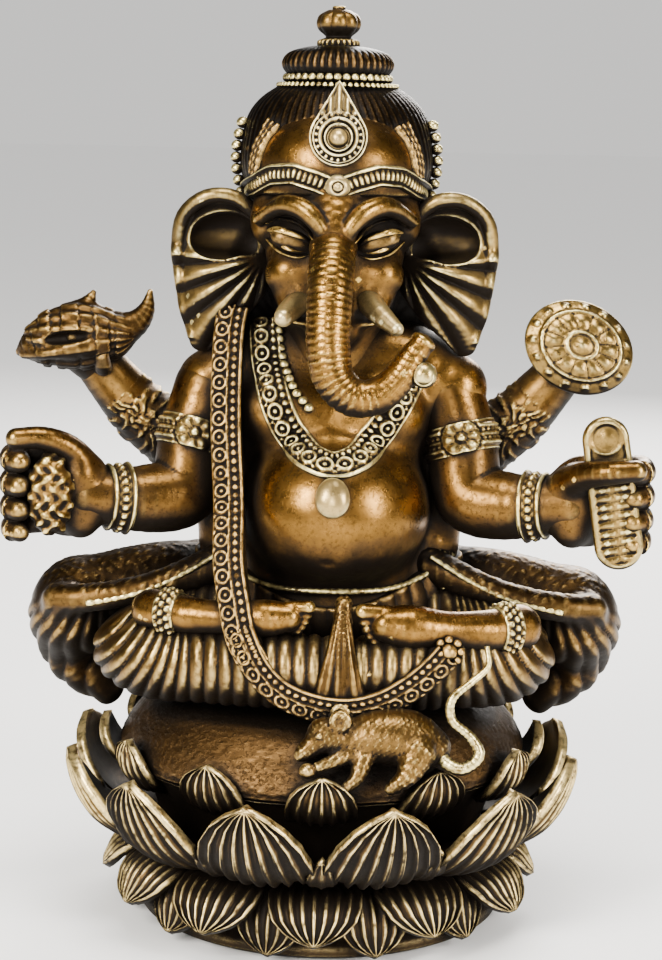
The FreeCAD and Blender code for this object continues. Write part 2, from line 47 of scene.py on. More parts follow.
RIGHT, LEFT = -1, 1                       # the figure's own sides, as signs of X
SIDES = {"right": RIGHT, "left": LEFT}
AXIS_X = 0.8                              # the head's own plane of symmetry
PETALS = 12
BAND_TURN = 368                           # degrees that a band takes round a limb, a little over itself
POINTS_AT_ONCE = 400000                   # how many points a field is asked about in one go


# ---------------------------------------------------------------- distance fields
# A field takes points as a (3, n) array and gives each one's distance to a surface, negative inside.
def col(v):
    return np.asarray(v, np.float32).reshape(3, 1)


def spin(axis, degrees):
    """A rotation matrix about an axis by its letter."""
    return np.array(Matrix.Rotation(math.radians(degrees), 3, axis), np.float32)


def egg(p, centre, radii, turn=None):
    q = p - col(centre)
    if turn is not None:
        q = turn.T @ q
    u = q / col(radii)
    w = u / col(radii)
    near = np.sqrt((u * u).sum(0))
    return near * (near - 1) / np.maximum(np.sqrt((w * w).sum(0)), 1e-6)


def rod(p, a, b, ra, rb):
    """(distance, place from 0 to 1) of a tapered rod with round ends."""
    a, b = col(a), col(b)
    ab = b - a
    t = np.clip(((p - a) * ab).sum(0) / float((ab * ab).sum()), 0, 1)
    q = p - a - ab * t
    return np.sqrt((q * q).sum(0)) - (ra + (rb - ra) * t), t


def limb(p, points, radii, pieces=4, along=False):
    """A tube along a smooth curve. With along, also how far along it each point lies, in millimetres."""
    path = smooth(points, pieces)
    fat = smooth([[r, 0, 0] for r in radii], pieces)[:, 0]
    best = np.full(p.shape[1], 1e9, np.float32)
    place = np.zeros(p.shape[1], np.float32)
    gone = 0.0
    for i in range(len(path) - 1):
        d, t = rod(p, path[i], path[i + 1], fat[i], fat[i + 1])
        length = float(np.linalg.norm(path[i + 1] - path[i]))
        nearer = d < best
        best = np.where(nearer, d, best)
        if along:
            place = np.where(nearer, gone + t * length, place)
        gone += length
    return (best, place) if along else best


def hoop(p, centre, axis, big, small, squash=1.0):
    """A torus; squash below 1 flattens its section along the axis."""
    axis = col(axis) / np.linalg.norm(axis)
    q = p - col(centre)
    h = (q * axis).sum(0)
    flat = q - axis * h
    out = np.sqrt((flat * flat).sum(0)) - big
    return np.sqrt(out * out + (h / squash) ** 2) - small


def join(a, b, k=2.0):
    """Union with a fillet about k wide."""
    h = np.clip(0.5 + 0.5 * (b - a) / k, 0, 1)
    return b + (a - b) * h - k * h * (1 - h)


def carve(a, b, k=1.0):
    return -join(-a, b, k)


def within(a, b, k=1.0):
    return -join(-a, -b, k)


def blend_all(parts, k):
    out = parts[0]
    for part in parts[1:]:
        out = join(out, part, k)
    return out


def mirrored(p, side):
    return p if side == LEFT else p * col((-1, 1, 1))


def folded(p):
    """The points with X made positive, for what is the same on both sides."""
    return np.stack([np.abs(p[0]), p[1], p[2]])


def step(x, low, high):
    """0 below low, 1 above high, smooth between."""
    t = np.clip((x - low) / (high - low), 0, 1)
    return t * t * (3 - 2 * t)


def half_round(square):
    """A half circle's height where the square of the place across it is given."""
    return np.sqrt(np.clip(1 - square, 0, 1))


def peak(x, centre, width):
    """A smooth peak of height 1."""
    return np.exp(-((x - centre) / width) ** 2)


# ---------------------------------------------------------------- curves
def smooth(points, pieces):
    """A Catmull-Rom curve through points, with that many pieces in each gap."""
    pts = np.asarray(points, float)
    ends = np.vstack([2 * pts[0] - pts[1], pts, 2 * pts[-1] - pts[-2]])
    out = []
    for i in range(len(pts) - 1):
        a, b, c, d = ends[i:i + 4]
        for j in range(pieces):
            t = j / pieces
            out.append(0.5 * (2 * b + (c - a) * t + (2 * a - 5 * b + 4 * c - d) * t * t
                              + (3 * b - a - 3 * c + d) * t ** 3))
    out.append(pts[-1])
    return np.array(out)


def even(path, gap, closed=False):
    """The path again, with points an even gap apart."""
    pts = np.asarray(path, float)
    if closed:
        pts = np.vstack([pts, pts[:1]])
    length = np.concatenate([[0], np.cumsum(np.linalg.norm(np.diff(pts, axis=0), axis=1))])
    count = max(2, int(round(length[-1] / gap)) + 1)
    at = np.linspace(0, length[-1], count)
    out = np.stack([np.interp(at, length, pts[:, k]) for k in range(3)], 1)
    return out[:-1] if closed else out


def slope(field, pts):
    """Outward unit normals of a field at (n, 3) points."""
    p = np.asarray(pts, np.float32).T
    nudges = [col(v) for v in np.eye(3) * 0.25]
    g = np.stack([field(p + nudge) - field(p - nudge) for nudge in nudges], 1)
    return g / np.maximum(np.linalg.norm(g, axis=1, keepdims=True), 1e-6)


def drape(field, xz, start=-75.0, end=30.0):
    """Points on a field's front surface, from (x, z) pairs."""
    ys = np.arange(start, end, 0.5, dtype=np.float32)
    out = []
    for x, z in xz:
        line = np.stack([np.full_like(ys, x), ys, np.full_like(ys, z)])
        hit = np.argmax(field(line) < 0)
        out.append((x, ys[hit], z))
    pts = np.array(out, float)
    for _ in range(2):
        pts -= slope(field, pts) * field(pts.T.astype(np.float32))[:, None]
    return pts


# ---------------------------------------------------------------- meshes
def add_mesh(name, verts, faces, finish, nodes=(), soft=True):
    """A mesh object from vertices in millimetres and faces as an (n, 3 or 4) array."""
    mesh = bpy.data.meshes.new(name)
    faces = np.asarray(faces, np.int32)
    mesh.vertices.add(len(verts))
    mesh.vertices.foreach_set("co", (np.asarray(verts) * MM).astype(np.float32).ravel())
    mesh.loops.add(faces.size)
    mesh.loops.foreach_set("vertex_index", faces.ravel())
    mesh.polygons.add(len(faces))
    mesh.polygons.foreach_set("loop_start", np.arange(0, faces.size, faces.shape[1], dtype=np.int32))
    mesh.update(calc_edges=True)
    if soft:
        mesh.shade_smooth()
    obj = bpy.data.objects.new(name, mesh)
    bpy.context.scene.collection.objects.link(obj)
    mesh.materials.append(finish)
    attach(obj, "root")
    if nodes:
        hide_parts(*nodes)
    return obj


def grid_values(field, low, counts, cell):
    """A field on a grid, worked out finely only in the blocks that its surface may cross."""
    block = 8
    blocks = -(-counts // block)
    corner = np.indices(blocks).reshape(3, -1)
    middle = low[:, None] + (corner + 0.5) * block * cell
    rough = field(middle.astype(np.float32))
    values = np.empty(tuple(blocks * block), np.float32)
    shaped = values.reshape(blocks[0], block, blocks[1], block, blocks[2], block)
    shaped[:] = rough.reshape(blocks[0], 1, blocks[1], 1, blocks[2], 1)
    near = np.abs(rough) < block * cell * 0.9 + 2.0
    spot = np.indices((block, block, block)).reshape(3, -1)
    places = (corner[:, near][:, :, None] * block + spot[:, None, :]).reshape(3, -1)
    for chunk in np.array_split(places, max(1, places.shape[1] // POINTS_AT_ONCE), axis=1):
        values[tuple(chunk)] = field((low[:, None] + chunk * cell).astype(np.float32))
    return values


def net(values, low, cell):
    """Surface nets: a quad mesh of where the grid's values change sign."""
    inside = values < 0
    n = np.array(values.shape) - 1
    offsets = [np.array(o) for o in np.ndindex(2, 2, 2)]
    corners = [inside[tuple(slice(o[k], o[k] + n[k]) for k in range(3))] for o in offsets]
    total = sum(corner.astype(np.int8) for corner in corners)
    active = (total > 0) & (total < 8)
    cells = np.argwhere(active)
    number = np.full(active.shape, -1, np.int32)
    number[active] = np.arange(len(cells))
    place = np.zeros((len(cells), 3))
    hits = np.zeros(len(cells))
    for axis in range(3):
        along = np.eye(3, dtype=int)[axis]
        for start in [o for o in offsets if o[axis] == 0]:
            a = values[tuple((cells + start).T)]
            b = values[tuple((cells + start + along).T)]
            crossed = (a < 0) != (b < 0)
            t = a[crossed] / (a[crossed] - b[crossed])
            place[crossed] += start + along * t[:, None]
            hits[crossed] += 1
    verts = low + (cells + place / hits[:, None]) * cell
    quads = []
    for axis in range(3):
        b, c = [k for k in range(3) if k != axis]
        low_side = [slice(1, -1)] * 3
        low_side[axis] = slice(0, -1)
        high_side = list(low_side)
        high_side[axis] = slice(1, None)
        first, second = inside[tuple(low_side)], inside[tuple(high_side)]
        edge = np.argwhere(first != second)
        outward = first[tuple(edge.T)]
        here = edge + np.array([0 if k == axis else 1 for k in range(3)])
        ring = []
        for db, dc in ((0, 0), (-1, 0), (-1, -1), (0, -1)):
            spot = here.copy()
            spot[:, b] += db
            spot[:, c] += dc
            ring.append(number[tuple(spot.T)])
        ring = np.stack(ring, 1)
        flip = outward if axis == 1 else ~outward
        ring[flip] = ring[flip][:, ::-1]
        quads.append(ring)
    return verts, np.vstack(quads)


def sculpt(name, field, low, high, cell, finish, nodes=()):
    """The surface of a field inside a box, as one mesh object."""
    cell = cell * COARSE
    low, high = np.array(low, float), np.array(high, float)
    counts = np.ceil((high - low) / cell).astype(int) + 1
    verts, quads = net(grid_values(field, low, counts, cell), low, cell)
    for _ in range(2):
        move = field(verts.T.astype(np.float32))
        verts -= slope(field, verts) * np.clip(move, -0.5 * cell, 0.5 * cell)[:, None]
    return add_mesh(name, verts, quads, finish, nodes)


def gather(name, meshes, finish, nodes=()):
    """One object from several (verts, faces) meshes, all triangles or all quads."""
    verts, faces, count = [], [], 0
    for v, f in meshes:
        verts.append(v)
        faces.append(np.asarray(f) + count)
        count += len(v)
    return add_mesh(name, np.vstack(verts), np.vstack(faces), finish, nodes)


def bead(centre, r, squash=(1, 1, 1), segments=14):
    """A ball of quads with its two poles closed by narrow quads."""
    rings = segments // 2
    theta = np.linspace(0, math.pi, rings + 1)
    phi = np.linspace(0, 2 * math.pi, segments, endpoint=False)
    tt, pp = np.meshgrid(theta[1:-1], phi, indexing="ij")
    body = np.stack([np.sin(tt) * np.cos(pp), np.sin(tt) * np.sin(pp), np.cos(tt)], -1).reshape(-1, 3)
    verts = np.vstack([body, [[0, 0, 1], [0, 0, -1]]]) * r * np.array(squash) + np.asarray(centre)
    faces = []
    for i in range(rings - 2):
        for j in range(segments):
            k = (j + 1) % segments
            upper, lower = i * segments, (i + 1) * segments
            faces.append((upper + j, lower + j, lower + k, upper + k))
    top, bottom, last = len(body), len(body) + 1, (rings - 2) * segments
    for j in range(0, segments, 2):
        k, m = j + 1, (j + 2) % segments
        faces.append((top, j, k, m))
        faces.append((bottom, last + m, last + k, last + j))
    return verts, np.array(faces)


def tube(path, radius, sides=10, closed=False, wave=None):
    """A round cord along a path. wave(length, angle) scales its radius."""
    pts = np.asarray(path, float)
    n = len(pts)
    way = np.roll(pts, -1, 0) - np.roll(pts, 1, 0) if closed else np.gradient(pts, axis=0)
    way /= np.linalg.norm(way, axis=1, keepdims=True)
    side = np.cross(way, [0, 0, 1.0])
    side[np.linalg.norm(side, axis=1) < 0.2] = [1, 0, 0]
    side /= np.linalg.norm(side, axis=1, keepdims=True)
    for i in range(1, n):
        side[i] = side[i - 1] - way[i] * (side[i - 1] @ way[i])
        side[i] /= np.linalg.norm(side[i])
    up = np.cross(way, side)
    gone = np.concatenate([[0], np.cumsum(np.linalg.norm(np.diff(pts, axis=0), axis=1))])
    angle = np.linspace(0, 2 * math.pi, sides, endpoint=False)
    radius = np.broadcast_to(radius, (n,)).astype(float)
    fat = radius[:, None] * (wave(gone[:, None], angle[None, :]) if wave else np.ones((n, sides)))
    ring = side[:, None] * np.cos(angle)[None, :, None] + up[:, None] * np.sin(angle)[None, :, None]
    verts = (pts[:, None] + ring * fat[:, :, None]).reshape(-1, 3)
    rows = n if closed else n - 1
    i = np.arange(rows)[:, None]
    j = np.arange(sides)[None, :]
    nxt = (i + 1) % n
    faces = np.stack([i * sides + j, i * sides + (j + 1) % sides, nxt * sides + (j + 1) % sides,
                      nxt * sides + j], -1).reshape(-1, 4)
    if not closed:
        verts = np.vstack([verts, pts[0], pts[-1]])
        caps = []
        for k in range(0, sides, 2):
            a, b, c = k, (k + 1) % sides, (k + 2) % sides
            caps.append((n * sides, c, b, a))
            caps.append((n * sides + 1, (n - 1) * sides + a, (n - 1) * sides + b, (n - 1) * sides + c))
        faces = np.vstack([faces, caps])
    return verts, faces


def ring_stack(rows):
    """A closed mesh over a stack of rings, an (n, m, 3) array with m even. Rungs close both ends."""
    n, m = rows.shape[:2]
    i, j = np.arange(n - 1)[:, None], np.arange(m)[None, :]
    k = (j + 1) % m
    sides = np.stack([i * m + j, i * m + k, (i + 1) * m + k, (i + 1) * m + j], -1)
    rung = np.arange(m // 2 - 1)
    end = np.stack([rung, rung + 1, m - 2 - rung, m - 1 - rung], -1)
    return rows.reshape(-1, 3), np.concatenate([sides.reshape(-1, 4), end[:, ::-1], end + (n - 1) * m])


def strip(path, width, relief, field, gap=0.42, sink=1.2):
    """A closed ribbon of relief on a field. relief(s, w) is its height at s mm along, w from -1 to 1."""
    gap = gap * COARSE
    pts = even(path, gap)
    for _ in range(2):
        pts = pts - slope(field, pts) * field(pts.T.astype(np.float32))[:, None]
    normal = slope(field, pts)
    for _ in range(3):
        normal[1:-1] = (normal[:-2] + normal[1:-1] * 2 + normal[2:]) / 4
    normal /= np.linalg.norm(normal, axis=1, keepdims=True)
    way = np.gradient(pts, axis=0)
    across = np.cross(way, normal)
    across /= np.linalg.norm(across, axis=1, keepdims=True)
    m = max(6, int(width / gap) // 2 * 2)
    w = np.linspace(-1, 1, m)
    s = np.concatenate([[0], np.cumsum(np.linalg.norm(np.diff(pts, axis=0), axis=1))])
    ground = pts[:, None] + across[:, None] * (w * width / 2)[None, :, None]
    flat = ground.reshape(-1, 3)
    lift = field(flat.T.astype(np.float32)).reshape(len(pts), m)
    lift = np.clip(lift, -1.5, 1.5)
    high = relief(s[:, None], w[None, :]) - lift
    top = ground + normal[:, None] * high[:, :, None]
    base = ground[:, ::-1] - normal[:, None] * (lift[:, ::-1, None] + sink)
    loop = np.concatenate([top, base[:, :1], base[:, -1:]], 1)
    return ring_stack(loop)


def lathe(profile, segments, centre=(0, 0), wave=None):
    """A surface turned about Z from (r, z) points that start and end on the axis."""
    path = np.asarray(profile, float)
    turn_by = np.linspace(0, 2 * math.pi, segments // 2 * 2, endpoint=False)
    r, z = path[:, 0][:, None], path[:, 1][:, None]
    grow = wave(turn_by[None, :], z, r) if wave else 0.0
    r = r + grow * (r > 0.1)
    x, y = centre[0] + r * np.sin(turn_by), centre[1] - r * np.cos(turn_by)
    return ring_stack(np.stack([x, y, np.broadcast_to(z, x.shape)], -1))


def profile_curve(points, gap):
    """A smooth outline of (r, z) points, an even gap apart, that starts and ends near the axis."""
    pts = smooth([[r, 0, z] for r, z in points], 6)
    out = even(pts, gap)
    return [(max(r, 0.02), z) for r, _, z in out]


# ---------------------------------------------------------------- materials
def make_node(tree, kind, **values):
    node = tree.nodes.new(kind)
    for key, value in values.items():
        if key in node.inputs:
            node.inputs[key].default_value = value
        else:
            setattr(node, key, value)
    return node


def surface(name, **values):
    """A new material with one principled shader: (material, its node tree, the shader)."""
    mat = bpy.data.materials.new(name)
    mat.use_nodes = True
    tree = mat.node_tree
    tree.nodes.clear()
    shader = make_node(tree, "ShaderNodeBsdfPrincipled", **values)
    out = make_node(tree, "ShaderNodeOutputMaterial")
    tree.links.new(shader.outputs[0], out.inputs[0])
    return mat, tree, shader


def add_bump(tree, shader, height, distance):
    bump = make_node(tree, "ShaderNodeBump", Strength=0.6, Distance=distance)
    tree.links.new(height, bump.inputs["Height"])
    tree.links.new(bump.outputs["Normal"], shader.inputs["Normal"])


def ramp(tree, source, low, high, out_low=0.0, out_high=1.0):
    """A value taken smoothly from the span low-high to the span out_low-out_high."""
    limits = {"From Min": low, "From Max": high, "To Min": out_low, "To Max": out_high}
    node = make_node(tree, "ShaderNodeMapRange", **limits)
    node.interpolation_type = "SMOOTHSTEP"
    tree.links.new(source, node.inputs["Value"])
    return node.outputs["Result"]


def maths(tree, operation, a, b):
    node = make_node(tree, "ShaderNodeMath", operation=operation)
    for k, source in enumerate((a, b)):
        if isinstance(source, (int, float)):
            node.inputs[k].default_value = source
        else:
            tree.links.new(source, node.inputs[k])
    return node.outputs[0]


def mix_colour(tree, share, a, b):
    node = make_node(tree, "ShaderNodeMix", data_type="RGBA")
    tree.links.new(share, node.inputs["Factor"])
    for k, source in ((6, a), (7, b)):
        if isinstance(source, tuple):
            node.inputs[k].default_value = (*source, 1)
        else:
            tree.links.new(source, node.inputs[k])
    return node.outputs[2]


def noise(tree, scale, detail=4.0, rough=0.55, stretch=(1, 1, 1)):
    where = make_node(tree, "ShaderNodeTexCoord")
    size = make_node(tree, "ShaderNodeMapping")
    size.inputs["Scale"].default_value = stretch
    node = make_node(tree, "ShaderNodeTexNoise", Scale=scale, Detail=detail, Roughness=rough)
    tree.links.new(where.outputs["Object"], size.inputs["Vector"])
    tree.links.new(size.outputs["Vector"], node.inputs["Vector"])
    return node.outputs["Fac"]


def antique(name, deep, body, worn, reach=0.004, open_from=0.50, open_to=0.95, shine=0.32, dirt=0.5,
            grain=0.00012, stretch=(1, 1, 1), wide=0.022, metal=1.0):
    """Antiqued brass: patina in the hollows, painted shade between parts and on downward faces, body colour in the
    open, worn metal on edges.
    """
    mat, tree, shader = surface(name)
    link = tree.links.new
    near = make_node(tree, "ShaderNodeAmbientOcclusion", samples=6)
    near.inputs["Distance"].default_value = reach
    # the far occlusion darkens between parts and under overhangs: painted shade; the near one is the patina in the
    # hollows
    far = make_node(tree, "ShaderNodeAmbientOcclusion", samples=6)
    far.inputs["Distance"].default_value = wide
    blotch = noise(tree, 70, 5, 0.6, stretch)
    fine = noise(tree, 420, 4, 0.6, stretch)
    shut = maths(tree, "MULTIPLY", near.outputs["AO"], ramp(tree, far.outputs["AO"], 0.20, 0.80, 0.25, 1.0))
    shape = make_node(tree, "ShaderNodeNewGeometry")
    groove = ramp(tree, shape.outputs["Pointiness"], 0.455, 0.497, 0.35, 1.0)
    way = make_node(tree, "ShaderNodeSeparateXYZ")
    link(shape.outputs["Normal"], way.inputs[0])
    # darker on downward-facing surfaces: painted shade, with patina left unrubbed there
    underside_shade_and_patina = ramp(tree, way.outputs["Z"], -0.75, 0.05, 0.45, 1.0)
    shut = maths(tree, "MULTIPLY", maths(tree, "MULTIPLY", shut, groove), underside_shade_and_patina)
    openness = maths(tree, "ADD", shut, maths(tree, "MULTIPLY", blotch, 0.56))
    clear_of_patina_and_shade = ramp(tree, maths(tree, "SUBTRACT", openness, 0.28), open_from, open_to)
    ridge = ramp(tree, shape.outputs["Pointiness"], 0.507, 0.555)
    rubbed = maths(tree, "MULTIPLY", ridge, ramp(tree, fine, 0.28, 0.58))
    speck = ramp(tree, noise(tree, 900, 3, 0.7), 0.50, 0.68)
    tone = mix_colour(tree, ramp(tree, blotch, 0.35, 0.68), tuple(0.55 * c for c in body), body)
    tone = mix_colour(tree, maths(tree, "MULTIPLY", speck, dirt), tone, tuple(0.22 * c for c in body))
    # the deep colour goes where the surface is shut in or faces down: patina and painted shade
    tone = mix_colour(tree, clear_of_patina_and_shade, deep, tone)
    tone = mix_colour(tree, maths(tree, "MULTIPLY", rubbed, ramp(tree, clear_of_patina_and_shade, 0.0, 0.6)), tone, worn)
    link(tone, shader.inputs["Base Color"])
    link(ramp(tree, clear_of_patina_and_shade, 0.0, 1.0, 0.35, metal), shader.inputs["Metallic"])
    polish = ramp(tree, clear_of_patina_and_shade, 0.0, 1.0, 0.52, shine - 0.08)
    link(maths(tree, "ADD", polish, maths(tree, "MULTIPLY", fine, 0.2)), shader.inputs["Roughness"])
    link(ramp(tree, clear_of_patina_and_shade, 0.0, 1.0, 0.15, 0.5), shader.inputs["Specular IOR Level"])
    height = maths(tree, "ADD", maths(tree, "MULTIPLY", fine, 0.7), maths(tree, "MULTIPLY", speck, 0.3))
    add_bump(tree, shader, height, grain)
    return mat


def felt(name):
    mat, tree, shader = surface(name, **{"Sheen Weight": 0.5})
    fibre = noise(tree, 1500, 6, 0.8)
    colour = mix_colour(tree, fibre, (0.012, 0.012, 0.013), (0.05, 0.05, 0.052))
    tree.links.new(colour, shader.inputs["Base Color"])
    tree.links.new(ramp(tree, fibre, 0, 1, 0.85, 1.0), shader.inputs["Roughness"])
    add_bump(tree, shader, fibre, 0.0003)
    return mat


def plated_steel(name):
    mat, tree, shader = surface(name, Metallic=1.0)
    cloud = noise(tree, 240, 4, 0.6)
    colour = mix_colour(tree, cloud, (0.42, 0.43, 0.45), (0.62, 0.62, 0.60))
    tree.links.new(colour, shader.inputs["Base Color"])
    tree.links.new(ramp(tree, cloud, 0, 1, 0.25, 0.45), shader.inputs["Roughness"])
    return mat


# the deep colour: patina in the hollows and painted shade
BLACK = (0.005, 0.003, 0.0015)
GOLD = antique("antique_brass", BLACK, (0.24, 0.130, 0.032), (1.0, 0.74, 0.24))
SKIN = antique("polished_brass", BLACK, (0.26, 0.130, 0.027), (0.96, 0.64, 0.17), reach=0.006, open_from=0.48,
               open_to=0.94, shine=0.26, dirt=0.6)
TRIM = antique("trim_brass", BLACK, (0.32, 0.20, 0.055), (1.0, 0.84, 0.36), reach=0.0022, open_from=0.48,
               open_to=0.92, shine=0.28)
# the ears take the deep colour further out, with a wider occlusion: patina and painted shade in the hollow
EAR = antique("ear_brass", BLACK, (0.30, 0.19, 0.055), (1.0, 0.82, 0.34), open_from=0.66, open_to=1.02, wide=0.03)
# a darker copy of the polished brass for the arms and front hands: painted shade
SHADED_ARM_BRASS = antique("shaded_arm_brass", BLACK, (0.18, 0.090, 0.021), (0.96, 0.66, 0.20), reach=0.006, open_from=0.55,
               open_to=1.02, shine=0.27, dirt=0.8)
# a darker copy of the antique brass for the leg cloth and the mouse: painted shade
SHADED_PLEAT_BRASS = antique("shaded_pleat_brass", BLACK, (0.165, 0.092, 0.026), (0.95, 0.68, 0.24), open_from=0.54, open_to=1.0)
PALE = antique("pale_brass", BLACK, (0.50, 0.35, 0.13), (1.0, 0.87, 0.46), reach=0.002, open_from=0.34,
               open_to=0.82, shine=0.29, dirt=0.45, metal=0.82)
DARK = antique("dark_patina", (0.003, 0.002, 0.0015), (0.010, 0.006, 0.003), (0.20, 0.115, 0.040), reach=0.006,
               shine=0.42)
CLOTH = antique("cloth_brass", BLACK, (0.085, 0.045, 0.013), (0.62, 0.39, 0.12), reach=0.003, shine=0.36, dirt=0.7)
LEAF = antique("petal_brass", BLACK, (0.14, 0.080, 0.026), (1.0, 0.76, 0.32), reach=0.0026, open_from=0.50,
               open_to=0.98, shine=0.33)
HIDE = antique("seat_brass", BLACK, (0.13, 0.070, 0.024), (0.50, 0.30, 0.11), reach=0.006, shine=0.42, grain=0.0006,
               stretch=(0.4, 0.4, 2.2), dirt=0.8)


# ---------------------------------------------------------------- the figure's fields
def torso_field(p):
    q = p - col((AXIS_X, 0, 0))
    m = folded(q)
    belly = egg(p, (2.0, -9.5, 117.5), (26.8, 28.5, 23.5))
    hips = egg(p, (1.8, 0, 90), (31, 25, 19))
    chest = egg(q, (0, -3, 141), (29.5, 18.5, 18))
    breast = egg(m, (12.5, -14.5, 144.5), (13.0, 8.5, 9.0))
    shoulder = limb(m, [(0, -1, 157), (20, -1.5, 156.5), (33.5, -3.5, 150.5)], [13, 12, 9.8], 3)
    back = egg(m, (11, 10, 138), (13, 7, 20))
    flank = limb(m, [(26, 1, 146), (29.5, 1.5, 130), (28.5, 1, 112), (24, 0, 96)], [8.5, 8.5, 9, 12], 3)
    d = join(join(belly, hips, 7), chest, 6)
    d = join(join(d, breast, 4), shoulder, 6)
    d = join(join(d, back, 5), flank, 3.5)
    d = carve(d, limb(q, [(0, 20.5, 160), (0, 19.5, 140), (0, 19.5, 118)], [1.6, 2.4, 1.8], 2), 3.0)
    navel = egg(p, (0.2, -37.4, 105.2), (2.3, 3.2, 1.4))
    return carve(d, navel, 1.6)


FRONT_ARM = [(33.5, -4, 149), (37.5, -7, 135), (39.5, -11, 121.8), (49, -15.5, 119.6), (60, -20, 120.6),
             (66, -21.5, 121.5)]
FRONT_FAT = [9.8, 9.8, 9.9, 9.5, 7.6, 7.4]
REAR_ARM = [(33, 6, 128), (43, 7, 133), (52.5, 6.5, 140), (60, 4.5, 148.5), (66, 3, 156)]
REAR_FAT = [9.6, 9.4, 8.9, 7.6, 6.6]


def front_arm_field(p):
    """The left front arm, bare from the shoulder to the wrist."""
    return limb(p, FRONT_ARM, FRONT_FAT, 4)


def rear_arm_field(p):
    """The rear arms wear a sleeve of chased scrollwork."""
    d, s = limb(p, REAR_ARM, REAR_FAT, 3, along=True)
    turns = np.arctan2(p[2] - 0.75 * p[0] - 100, -p[1])
    scroll = np.sin(s * 1.25 + 2.2 * np.sin(turns * 3)) * np.cos(turns * 5 + 1.5 * np.sin(s * 0.6))
    worn = step(s, 3, 6) * (1 - step(s, 31, 33))
    return d - worn * (0.55 * step(scroll, -0.2, 0.5) - 0.2)


def fist_field(p):
    """A front hand of the left side: palm to the front, four fingers curled in from outside."""
    palm = egg(p, (71.0, -19.0, 122.0), (11.5, 6.0, 12.8))
    heel = egg(p, (67.0, -23.0, 116.0), (5.6, 4.6, 6.4))
    wrist = rod(p, (62, -20.5, 121), (69, -21, 122), 7.3, 7.4)[0]
    mount = egg(p, (67.5, -24.5, 127.5), (5.4, 4.8, 5.4))
    base = blend_all([palm, heel, wrist, mount], 3)
    for k, z in enumerate((131.8, 125.2, 118.6, 112.6)):
        size = (3.4, 3.5, 3.4, 3.0)[k]
        line = [(77, -18.5, z + 0.5), (83.6, -20.0, z), (85.4, -26.5, z - 0.2), (82.6, -30.6, z - 0.4)]
        finger = limb(p, line, [size, size, size, size * 0.88], 3)
        knuckle = egg(p, (85.0, -23.0, z), (3.8, 4.2, size * 1.06))
        joint = hoop(p, (84.9, -28.6, z - 0.3), (-0.7, -0.7, 0), size * 0.96, 0.28)
        base = join(base, join(join(finger, knuckle, 1.0), joint, 0.3), 0.5)
    return base


LEFT_THUMB = [(65, -24, 127), (69.5, -31.0, 131.0), (75.5, -36.0, 132.6), (82.0, -36.4, 133.2)]
RIGHT_THUMB = [(65, -22, 128), (70.0, -25.5, 134.4), (76.5, -28.5, 137.6), (83.5, -30.0, 137.6)]


def thumb_field(p, side):
    """The thumb of a front hand: over the leaf on the left, over the top of the sweet on the right."""
    line = LEFT_THUMB if side == LEFT else RIGHT_THUMB
    return limb(p, line, [4.6, 3.9, 3.2, 2.9], 4)


def rear_hand_field(p):
    """The left upper hand: a cupped palm with four fingers raised behind what it holds."""
    palm = egg(p, (69.5, 1.5, 159.5), (6.8, 6.2, 8.0), spin("Y", 28))
    wrist = rod(p, (64, 3.2, 153), (68, 2.2, 158), 6.2, 6.2)[0]
    d = join(palm, wrist, 3)
    for k in range(4):
        x, z = 63.4 + 4.0 * k, 155.2 + 2.4 * k
        line = [(x, 0, z - 1.5), (x - 0.6, -6.0, z - 0.5), (x - 0.4, -8.6, z + 3.0)]
        d = join(d, limb(p, line, [2.3, 2.3, 2.0], 3), 0.6)
    return d


EYE, EYE_SIZE = (11.5, -27.4, 191.8), (5.5, 2.9, 2.7)
EYE_TILT = 16                             # degrees that an eye's outer corner is raised


def head_field(p):
    q = p - col((AXIS_X, 0, 0))
    m = folded(q)
    skull = egg(q, (0, -4.5, 203), (22.3, 23.6, 26))
    face = egg(q, (0, -9.5, 184), (18.2, 18.6, 20))
    cheek = egg(m, (11.5, -20.8, 183.0), (7.2, 6.6, 6.5), spin("Y", 20))
    jowl = egg(m, (9.5, -22.0, 175.5), (5.6, 6.0, 6.6))
    jaw = egg(q, (0, -22, 169.5), (7.0, 9, 7.0))
    neck = rod(q, (0, -3, 156), (0, -5, 172), 13.0, 13.0)[0]
    d = blend_all([skull, face, neck, jaw], 5)
    d = join(join(d, cheek, 3.0), jowl, 3.0)
    temple = egg(m, (19.0, -12, 197), (4.2, 8, 7))
    d = join(d, temple, 3)
    socket = limb(m, [(5.2, -33.2, 192.6), (9.0, -34.6, 196.8), (14.5, -31.6, 197.6), (19.4, -25.6, 194.0)],
                  [2.4, 4.2, 4.2, 2.6], 3)
    under = limb(m, [(6.0, -33.0, 189.4), (11.5, -31.6, 187.6), (17.5, -27.0, 189.6)], [1.6, 2.0, 1.4], 3)
    d = carve(carve(d, socket, 2.0), under, 1.2)
    bridge = limb(q, [(0, -20.5, 204), (0, -27.4, 198.4), (0, -31.8, 192.2)], [9.4, 6.6, 5.4], 3)
    d = join(d, bridge, 3.0)
    line = np.array([(2.4, -34.6, 192.8), (4.6, -34.2, 196.6), (8.4, -32.4, 200.2), (14.0, -28.2, 201.2),
                     (20.4, -20.4, 197.2)])
    brow_fat = np.array([1.8, 2.4, 2.7, 2.5, 1.9])
    d = join(d, limb(m, line + (0, 4.5, 0.2), brow_fat, 4), 1.6)
    d = join(d, limb(m, line, brow_fat, 4), 0.8)
    ball = egg(m, EYE, EYE_SIZE, spin("Y", -EYE_TILT))
    nostril = egg(m, (10.5, -29.5, 171.5), (5.2, 6.5, 2.6))
    return carve(join(d, ball, 0.4), nostril, 1.5)


